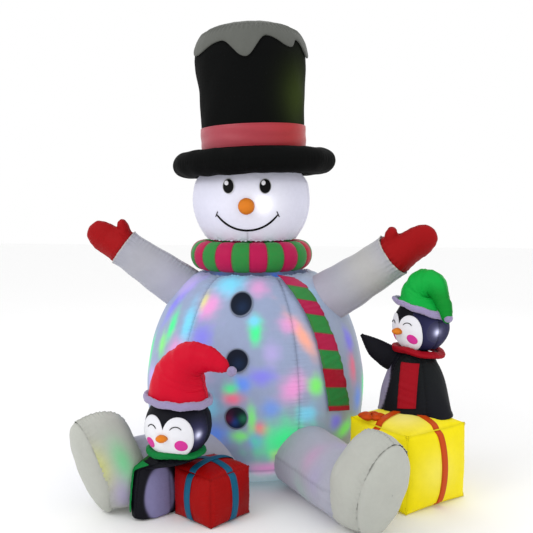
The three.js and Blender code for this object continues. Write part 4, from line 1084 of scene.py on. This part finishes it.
def make_snow():
    """The snow on the crown: a cap of grey-white cloth whose lower edge hangs in waves."""
    columns, rows = 720, 70
    azimuth = np.arange(columns) * 360 / columns - 92
    around = np.array([*SNOW_EDGE, (SNOW_EDGE[0][0] + 360, SNOW_EDGE[0][1])])
    after = np.clip(np.searchsorted(around[:, 0], azimuth, side="right"), 1, len(around) - 1)
    share = (azimuth - around[after - 1, 0]) / (around[after, 0] - around[after - 1, 0])
    low = around[after - 1, 1] + (around[after, 1] - around[after - 1, 1]) * (1 - np.cos(math.pi * share)) / 2
    line = spline(CROWN_OUTLINE, 300)
    lengths = np.r_[0, np.cumsum(np.linalg.norm(np.diff(line, axis=0), axis=1))]
    starts = np.interp(low, line[:, 1], lengths)
    share = np.r_[0, 0, np.linspace(0.01, 1, rows - 2)][:, None]
    at = starts[None] + (lengths[-1] - starts[None]) * share
    r, z = np.interp(at, lengths, line[:, 0]), np.interp(at, lengths, line[:, 1])
    a = np.radians(azimuth)
    grid = ringed(r, a, z)
    lift = np.r_[0.0, 0.0042, np.full(rows - 2, 0.005)][:, None] + 0.001 * rumple(grid, 0.05, 15)
    gather = 0.0022 * np.sin(a * 70)[None] * np.exp(-((z - 0.510) / 0.016) ** 2)
    seam = np.exp(-((z - 0.518) / 0.0045) ** 2)
    grid = grid + normals(grid) * (lift + gather - 0.0025 * seam)[..., None]
    # Painted light: the top of the snow drawn lighter. The lower edge is drawn darker.
    top, edge = np.clip((z - 0.52) / 0.03, 0, 1), np.exp(-(at - starts[None]) / 0.008)
    tint = painted(grid, (0.6 * top, "7c8079"), (0.4 * edge, "54554f"))
    layers = dict(crease=0.8 * seam, run=a * 200)
    piece("hat_snow_cloth", on_hat(grid), SNOW, ["hat_snow_cap"], layers=layers, tint=tint)


# ---- Gift boxes ---------------------------------------------------------------------------------
def box_face(u, v, plan, lift=0.0, side=0):
    """A place on a blown-up box's side 0 to 3 or on its top, 4, for u and v from -1 to 1."""
    half, height, crown = plan["width"] / 2, plan["height"] / 2, plan["crown"]
    swell = (1 - u ** 2) * (1 - v ** 2)
    near_edge = np.maximum(np.abs(u), np.abs(v))
    roll = plan["corner"] * np.clip((near_edge - 0.86) / 0.14, 0, 1) ** 2
    bow = 1 - plan["bow"] * (1 - v ** 2) * np.abs(u) ** 6
    rise = 1 - plan["bow"] * (1 - u ** 2) * np.abs(v) ** 6
    out = crown * swell ** 0.75 - 0.45 * roll + lift
    if side == 4:
        return np.stack([half * u * bow, half * v * rise, height * 2 + out], -1)
    x, z = half * u * bow, height * (1 + v * rise)
    y = -(half + out * np.where(v < -0.9, 0.6, 1.0))
    a = side * math.pi / 2
    return np.stack([x * math.cos(a) - y * math.sin(a), x * math.sin(a) + y * math.cos(a), z], -1)


RED_GIFT = dict(width=0.186, height=0.170, corner=0.012, crown=0.022, bow=0.03, x=-0.058, y=-0.606, turn=55)
YELLOW_GIFT = dict(
    width=0.300, height=0.280, corner=0.016, crown=0.036, bow=0.035, x=0.617, y=-0.322, turn=43)


def make_gift(name, plan, material, ribbon_material, half_ribbon, tints):
    """A blown-up box of five sewn panels, with a strip of ribbon over the middle of each."""
    def place(grid):
        return placed(grid, (plan["x"], plan["y"], 0.0008), turn=plan["turn"])
    count = 72
    line = np.linspace(-1, 1, count)
    u, v = np.meshgrid(line, line)
    edge = 1 - np.maximum(np.abs(u), np.abs(v))
    size = plan["width"] / 2
    for side in range(5):
        grid = box_face(u, v, plan, 0.0, side)
        run = np.where(np.abs(u) > np.abs(v), v, u) * size
        gather = 0.0022 * ripple(run, 0.014, side) * np.exp(-edge * size / 0.014) * np.clip(edge * 40, 0, 1)
        low = np.where((side < 4) & (v < -0.85), 0.0, 1.0)
        move = (gather + 0.0012 * rumple(grid, 0.07, 20)) * np.clip(edge * 8, 0, 1) * low
        grid = grid + normals(grid, wrap=False) * move[..., None]
        tint = no_tint(grid.shape[:2])
        # Painted light and shade: soft brighter and darker patches from the tints list.
        for at_side, x, z, wide, colour, strength in tints:
            if at_side == side:
                tint = dab(tint, strength * np.exp(-(np.hypot(u - x, v - z) / wide) ** 2), colour)
        layers = dict(crease=np.clip(1 - edge * size / 0.007, 0, 1), run=run * STITCHES)
        names = [f"{name}_box"] if side == 0 else []
        piece(f"{name}_panel_{side}", place(grid), material, names, wrap=False, layers=layers, tint=tint)
        make_ribbons(name, plan, side, place, ribbon_material, half_ribbon / size)


def make_ribbons(name, plan, side, place, material, half):
    along = np.linspace(-0.99, 0.995, 60)
    across = np.linspace(-half, half, 9)
    rim = np.abs(np.linspace(-1, 1, 9))
    for way in range(2):
        if side < 4 and way == 1:
            continue
        if way == 0:
            u, v = np.meshgrid(across, along)
        else:
            v, u = np.meshgrid(across, along)
            u, v = u[:, ::-1], v[:, ::-1]
            u = -u
        height = 0.0026 + 0.0008 * (1 - rim ** 4) + (0.0014 if way else 0.0)
        grid = box_face(u, v, plan, height[None] + 0 * u, side)
        names = [f"{name}_ribbon"] if side == 0 else []
        crease = np.clip(1 - np.abs(rim - 0.8) / 0.2, 0, 0.8)
        made = piece(f"{name}_ribbon_{side}_{way}", place(grid), material, names, wrap=False,
                     layers=dict(crease=crease, run=np.arange(60)[:, None] * 1.3))
        thicken(made, 0.002)


def make_gifts():
    glow = [
        (3, 0.1, 0.1, 0.55, "fbf6a0", 0.7), (0, -0.2, 0.0, 0.5, "fdf27c", 0.5),
        (4, -0.4, -0.3, 0.5, "fff6a6", 0.6),
    ]
    make_gift("yellow_gift", YELLOW_GIFT, GIFT_YELLOW, RIBBON_ORANGE, 0.0145, glow)
    # Painted shade on two sides of the red gift, and painted light on its top.
    dark = [
        (0, 0.6, -0.4, 0.8, "8a0808", 0.6), (3, -0.4, -0.5, 0.7, "9a0a0a", 0.5),
        (4, 0.2, 0.2, 0.6, "dc2018", 0.4),
    ]
    make_gift("red_gift", RED_GIFT, GIFT_RED, RIBBON_BLUE, 0.0145, dark)
    outline = [(0.001, -0.016), (0.026, -0.013), (0.040, 0.0), (0.026, 0.012), (0.001, 0.014)]
    knot, azimuth = turned(outline, 96, 40)
    knot[..., 0] *= 1.3
    knot, layers = sewn(knot, azimuth, (0, 60, 130, 200, 290), scallop=0.005, pucker=0.001, size=0.008,
                        spread=0.006)
    top = YELLOW_GIFT["height"] + 0.02
    middle = (YELLOW_GIFT["x"], YELLOW_GIFT["y"], 0)
    at = placed(np.array([-0.125, 0.055, top]), middle, turn=YELLOW_GIFT["turn"])
    made = piece("yellow_gift_knot", knot + at, RIBBON_ORANGE, layers=layers)


# ---- Penguins -----------------------------------------------------------------------------------
PENGUINS = {
    "red_hat": dict(
        place=(-0.184, -0.650, 0.0), turn=-12,
        body=[(0.104, 0.0), (0.122, 0.028), (0.116, 0.116), (0.100, 0.200), (0.066, 0.240)],
        radius=0.115, height=0.331, neck=0.066, lean=(0.022, 0.0), hat_radius=0.098, rise=0.086, hat_tilt=5,
        slim=0.0,
        path=[(0, 0, 0), (0.006, 0, 0.068), (0.046, -0.006, 0.134), (0.118, -0.014, 0.150),
              (0.194, -0.024, 0.122)],
        tail=(-36, 0.025, 0.030), hat_cloth=HAT_RED, scarf_cloth=SCARF_GREEN,
        flat=(0.050, 0.130)),
    "green_hat": dict(
        place=(0.646, -0.246, YELLOW_TOP), turn=-53,
        body=[(0.126, 0.0), (0.136, 0.024), (0.118, 0.110), (0.092, 0.186), (0.062, 0.232)],
        radius=0.105, height=0.330, neck=0.062, lean=(0.013, 0.016), hat_radius=0.090, rise=0.062,
        hat_tilt=18, slim=0.16,
        path=[(0, 0, 0), (-0.006, 0, 0.050), (0.012, 0, 0.088), (0.062, 0.010, 0.092), (0.104, 0.014, 0.040),
              (0.124, 0.014, -0.006)],
        tail=(38, 0.033, 0.044), hat_cloth=HAT_GREEN, scarf_cloth=SCARF_RED,
        flat=(0.066, 0.160)),
}


def head_line(plan):
    """A penguin's head, from its neck up: round below and narrower above."""
    r = plan["radius"]
    low = -math.acos(plan["neck"] / r)
    arc = [(r * math.cos(a), r * math.sin(a)) for a in np.linspace(low, 0, 6)]
    crown = [(0.95, 0.3), (0.8, 0.62), (0.62, 0.87), (0.33, 1.05), (0.002, 1.1)]
    return arc + [(x * r, z * r) for x, z in crown]


def face_edge(r, count=96):
    """The two-lobed face patch, as places across and up about the middle of the head."""
    def curve(a, b, c, d):
        t = np.linspace(0, 1, 40, endpoint=False)[:, None]
        a, b, c, d = (np.array(p) * r for p in (a, b, c, d))
        return (1 - t) ** 3 * a + 3 * t * (1 - t) ** 2 * b + 3 * t ** 2 * (1 - t) * c + t ** 3 * d
    half = [curve((0, -0.78), (0.4, -0.78), (0.8, -0.5), (0.78, 0.02)),
            curve((0.78, 0.02), (0.74, 0.62), (0.1, 0.72), (0, 0.12))]
    right = np.vstack(half)
    left = right[::-1] * np.array([-1, 1])
    line = np.vstack([right, left])
    return evenly(np.vstack([line, line[:1]]), count + 1)[:-1] + np.array([0, -0.08 * r])


def make_penguin(kind):
    plan = PENGUINS[kind]
    name = f"{kind}_penguin"

    def on_body(grid):
        return placed(grid, plan["place"], turn=plan["turn"])

    def on_neck(grid):
        return on_body(grid + np.array([*plan["lean"], plan["height"]]))

    make_penguin_body(kind, plan, name, on_body)
    line = head_line(plan)
    grid, azimuth = turned(line, 192, 110)
    r = plan["radius"]
    lamp_turn = math.radians(62 if kind == "red_hat" else 84)
    lamp_at = np.array([math.sin(lamp_turn), -math.cos(lamp_turn), -0.12]) * r
    lamp = np.linalg.norm(grid - lamp_at, axis=2) / 0.014
    # Painted light: the lamp's glow, a wider bluish glow round it and, on the green-hat penguin, a lighter
    # navy over the lamp's side.
    tint = painted(grid, (np.exp(-lamp ** 2), "eef0ff"))
    tint = dab(tint, 0.5 * np.exp(-(lamp / 3.2) ** 2), "5c5c96" if kind == "red_hat" else "7c7cb4")
    if kind == "green_hat":
        tint = dab(tint, 0.55 * (azimuth > 30)[None] * (lamp > 3.0), "2e2e60")
    grid, layers = sewn(grid, azimuth, (-90, 90, 180), scallop=0.002, pucker=0.0012, folds=0.0008,
                        fold_size=0.06, seed=21)
    layers["lit"] = 1.4 * np.exp(-lamp ** 2) + 0.1 * np.exp(-(lamp / 3) ** 2)
    piece(f"{name}_head_cloth", on_neck(grid), PENGUIN, [f"{name}_head"], layers=layers, tint=tint)
    make_penguin_face(name, line, r, on_neck)
    make_penguin_hat(kind, plan, name, on_neck)
    make_penguin_scarf(plan, name, on_body)
    if kind == "green_hat":
        make_wing(name, on_body)


def beside_gift(grid):
    """Squeezes the lower part of the penguin that holds the red gift to the gift's far side."""
    turn = math.radians(RED_GIFT["turn"])
    across = np.array([-math.sin(turn), math.cos(turn)])
    away = (grid[..., :2] - np.array([RED_GIFT["x"], RED_GIFT["y"]])) @ across
    low, high, wall = -0.045, 0.205, RED_GIFT["width"] / 2 + 0.005
    squeezed = wall + (away - low) * (high - wall) / (high - low)
    below = np.clip((RED_GIFT["height"] + 0.05 - grid[..., 2]) / 0.05, 0, 1)
    below = below * below * (3 - 2 * below)
    made = grid.copy()
    made[..., :2] += ((squeezed - away) * below)[..., None] * across
    return made


def make_penguin_body(kind, plan, name, on_body):
    grid, azimuth = turned([(0.001, 0.0004), *plan["body"]], 216, 120)
    z = grid[..., 2]
    tint = no_tint(grid.shape[:2])
    ahead = (azimuth - (48 if kind == "red_hat" else -38)) / (32 if kind == "red_hat" else 30)
    belly = 1 / (1 + np.exp(-((1 - ahead[None] ** 2 - ((z - 0.085) / 0.095) ** 2) * 14)))
    tint = dab(tint, 0.95 * belly, "9a96c6" if kind == "red_hat" else "b0aac8")
    if kind == "red_hat":
        cape = np.clip((-48 - azimuth) / 3, 0, 1)[None] * np.clip((azimuth + 96) / 3, 0, 1)[None]
        tint = dab(tint, 0.9 * cape, "1e6b1e")
    else:
        # Painted light: lighter, with a green cast, on one side and towards the top.
        tint = dab(tint, 0.5 * np.clip(z / 0.2, 0, 1) * (azimuth > -8)[None], "1e2622")
    grid, layers = sewn(grid, azimuth, (-110, -10, 70, 160), scallop=0.003, pucker=0.0015, folds=0.0022,
                        fold_size=0.07, seed=23)
    grid, layers = pinched(grid, layers, 9, depth=0.004, size=0.018, low=False, seed=3)
    grid[..., 2] = np.maximum(grid[..., 2], 0.0004)
    if kind == "green_hat":
        hem = np.exp(-((azimuth - 100) / 30) ** 2)[None] * np.clip(1 - z / 0.10, 0, 1) ** 2
        grid[..., :2] *= 1 + 0.16 * hem[..., None]
    grid = on_body(grid)
    grid = beside_gift(grid) if kind == "red_hat" else grid
    piece(f"{name}_body_cloth", grid, PENGUIN, [f"{name}_body"], layers=layers, tint=tint)


def make_penguin_face(name, line, r, on_neck):
    patch(f"{name}_face_cloth", line, face_edge(r), FACE, [f"{name}_face"], lift=0.003, place=on_neck)
    for side, sign in (("right", -1), ("left", 1)):
        edge = oval(sign * r * 0.47, -r * 0.36, r * 0.155, r * 0.165, count=36)
        patch(f"{name}_{side}_cheek", line, edge, CHEEK, lift=0.0045, place=on_neck)
        eye = arc_strip(sign * r * 0.36, r * 0.02, r * 0.17, 62, 0.0042, 1, count=32)
        line_patch(f"{name}_{side}_eye", line, eye, PRINT, lift=0.0055, place=on_neck)
    outline = [(0.001, -1), (0.55, -0.8), (0.97, -0.2), (0.9, 0.4), (0.45, 0.88), (0.001, 1)]
    beak, azimuth = turned(outline, 64, 40)
    beak = beak * np.array([0.0205, 0.024, 0.0135]) + np.array([0, -r - 0.005, -r * 0.14])
    beak, layers = sewn(beak, azimuth, (90, -90), pucker=0.0005, size=0.006, spread=0.004)
    made = piece(f"{name}_beak_cloth", on_neck(beak), NOSE, [f"{name}_beak"], layers=layers)


def fluffy(grid, amount, seed):
    """A grid with a fleece's short, uneven tufts."""
    rng = np.random.default_rng(seed)
    tufts = rng.random(grid.shape[:2])
    tufts = (tufts + np.roll(tufts, 1, 1) + np.roll(tufts, -1, 1)) / 3
    return grid + normals(grid) * ((tufts - 0.5) * 2 * amount)[..., None]


def make_penguin_hat(kind, plan, name, on_neck):
    """A drooping stocking hat, its fleece trim and the bobble at its tip."""
    lift = np.array([0, 0, plan["rise"]])
    path = spline(np.array(plan["path"], float) + lift, 130)
    share = np.linspace(0, 1, 130)
    sizes = [(1, 0), (0.97, 0.12), (0.86, 0.27), (0.6, 0.48), (0.4, 0.7), (0.18, 0.95), (0.02, 1)]
    radii = plan["hat_radius"] * np.interp(share, [s for _, s in sizes], [r for r, _ in sizes])
    radii *= 1 - plan["slim"] * np.clip(share / 0.12, 0, 1) * (share < 0.8)
    for _ in range(6):
        radii[1:-1] = (radii[:-2] + 2 * radii[1:-1] + radii[2:]) / 4
    grid, angle = tube(path, radii, 144, upright=(0, 1, 0))
    grid, layers = sewn(grid, angle, (-90, 90), scallop=0.002, pucker=0.0012, folds=0.0022, fold_size=0.08,
                        seed=31)
    bend = np.exp(-((share[:, None] - 0.42) / 0.14) ** 2)
    grid = grid + normals(grid) * (0.0025 * bend * ripple(share[:, None] * 0.3, 0.034, 2))[..., None]

    def tipped(grid):
        """The hat's lower edge tipped down at the viewer's right, less and less towards its top."""
        way = math.radians(plan["turn"])
        arm = grid - lift
        level = np.clip(1 - arm[..., 2] / 0.10, 0, 1)
        side = arm[..., 0] * math.cos(way) - arm[..., 1] * math.sin(way)
        made = grid.copy()
        made[..., 2] -= math.tan(math.radians(plan["hat_tilt"])) * side * level
        return made
    grid = tipped(grid)
    tint = no_tint(grid.shape[:2])
    # Painted shade: the lower side of the drooping part drawn darker.
    dark = "8e0612" if kind == "red_hat" else "0a7a1c"
    under = np.clip((plan["rise"] + 0.11 - grid[..., 2]) / 0.05, 0, 1)
    under = under * np.clip((share[:, None] - 0.45) / 0.2, 0, 1)
    tint = dab(tint, 0.6 * under, dark)
    layers["lit"] = 0.10 * (1 - share[:, None])
    piece(f"{name}_hat_cloth", on_neck(grid), plan["hat_cloth"], [f"{name}_hat"], layers=layers, tint=tint)

    a = np.radians(np.arange(240) * 1.5)
    b = np.radians(np.arange(25) * 15 - 180)[:, None]
    r = plan["hat_radius"] + 0.010 + 0.0095 * np.cos(b)
    z = plan["rise"] + 0.004 + 0.013 * np.sin(b)
    trim = ringed(r, a, z + 0.0015 * np.sin(a * 9))
    piece(f"{name}_trim_cloth", on_neck(tipped(fluffy(trim, 0.0016, 41))), FLEECE, [f"{name}_hat_trim"])
    tip = path[-1] + unit(path[-1] - path[-4]) * 0.015
    ball, _ = turned(circle(0.016), 60, 40)
    made = piece(f"{name}_bobble_cloth", on_neck(fluffy(ball, 0.0014, 43) + tip), FLEECE, [f"{name}_bobble"])


def make_penguin_scarf(plan, name, on_body):
    """The scarf: a folded roll round the neck and a loose end that hangs from under it."""
    top = plan["body"][-1][1]
    a = np.radians(np.arange(180) * 2)
    b = np.radians(np.arange(31) * 12 - 180)[:, None]
    thick = 0.0155 + 0.0018 * np.sin(3 * b + 2 * np.sin(a)[None])
    thick = thick + 0.001 * ripple(a * 0.09, 0.09 * 2 * math.pi / 24, 3)[None]
    r = plan["neck"] + 0.021 + thick * np.cos(b)
    z = top + 0.003 + 0.8 * thick * np.sin(b) + 0.004 * np.sin(2 * a + 1)[None] + 0.002 * np.sin(5 * a)[None]
    way = math.radians(plan["turn"])
    z = z - 0.006 * plan["hat_tilt"] * r * (np.sin(a) * math.cos(way) + np.cos(a) * math.sin(way))
    grid = np.stack([r * np.sin(a) + plan["lean"][0] / 2, -r * np.cos(a) + plan["lean"][1] / 2, z], -1)
    piece(f"{name}_scarf_cloth", on_body(grid), plan["scarf_cloth"], [f"{name}_scarf"])
    at, half, low = plan["tail"]
    high = top - 0.030
    z = np.linspace(low, high, 70)[:, None]
    radius = radius_at(plan["body"], z, 200)
    across = np.linspace(-1, 1, 22)[None]
    share = (z - low) / (high - low)
    azimuth = np.radians(at) + across * half / radius
    lift = 0.0045 + 0.0012 * ripple(z + 0.01 * across, 0.035, 4) + 0.001 * across ** 2
    r = radius + lift
    grid = ringed(r, azimuth, z + 0.003 * (1 - share) * across)
    hem = np.clip(1 - np.abs(np.abs(across) - 0.86) / 0.08, 0, 0.9)
    grid = on_body(grid)
    grid = beside_gift(grid) if name == "red_hat_penguin" else grid
    made = piece(f"{name}_scarf_end", grid, plan["scarf_cloth"], [f"{name}_scarf_tail"], wrap=False,
                 layers=dict(crease=hem, run=z * 900), body=f"{name}_scarf_tail")
    thicken(made, 0.0024)


def make_wing(name, on_body):
    """The raised wing: a flat, pointed bag of stiff black cloth, built in its blown-up shape."""
    path = spline([(-0.044, -0.058, 0.190), (-0.084, -0.110, 0.232), (-0.122, -0.160, 0.286)], 70)
    outline = spline([(0.040, 0.0), (0.042, 0.034), (0.026, 0.084), (0.001, 0.112)], 70)
    grid, angle = tube(path, outline[:, 0], 72, upright=(-0.8, 0.6, 0), stretch=0.4)
    grid, layers = sewn(grid, angle, (-90, 90), pucker=0.0010, size=0.009, spread=0.008, folds=0.001,
                        fold_size=0.05)
    made = piece(f"{name}_wing_cloth", on_body(grid), PENGUIN, [f"{name}_wing"], layers=layers)


# ---- Zip and the hard pieces --------------------------------------------------------------------
def make_zip_tape():
    """The zip's cloth tape, with its two rows of teeth as a raised ridge."""
    first, last, height, half_width, tooth = 118, 152, 0.302, 0.0125, 0.004
    azimuth = np.radians(np.linspace(first, last, 240))[None]
    z = height + np.linspace(-half_width, half_width, 25)[:, None]
    radius = radius_at(BODY_OUTLINE, z)
    rim = np.abs(z - height) / half_width
    teeth = 0.0012 * (rim < 0.28) * (0.6 + 0.4 * np.sign(np.sin(azimuth * 0.455 * 2 * math.pi / tooth)))
    r = radius + 0.0012 + 0.0012 * (1 - rim ** 6) + teeth
    grid = ringed(r, azimuth, z)
    piece("zip_tape_cloth", grid, BLACK, ["zip_tape"], wrap=False,
          layers=dict(crease=np.clip(1 - np.abs(rim - 0.72) / 0.12, 0, 0.9), run=azimuth * 400))


def finish_hard_nodes():
    groups = {
        "fan_housing": PLASTIC, "fan_impeller": PLASTIC, "fan_grille": PLASTIC, "fan_motor": STEEL,
        "projector_base": PLASTIC, "projector_dome": CLEAR, "head_lamp": CLEAR, "zip_slider": ZIP_METAL,
        "red_hat_penguin_lamp": CLEAR, "green_hat_penguin_lamp": CLEAR,
    }
    for name, material in groups.items():
        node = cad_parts[name]
        node.data.materials.clear()
        node.data.materials.append(material)


make_body()
make_base()
make_buttons()
make_collar()
make_scarf_tail()
for side_name in ("right", "left"):
    make_arm(side_name)
    make_leg(side_name)
    make_foot(side_name)
make_head()
make_hat()
make_gifts()
for penguin_kind in PENGUINS:
    make_penguin(penguin_kind)
make_zip_tape()
finish_hard_nodes()
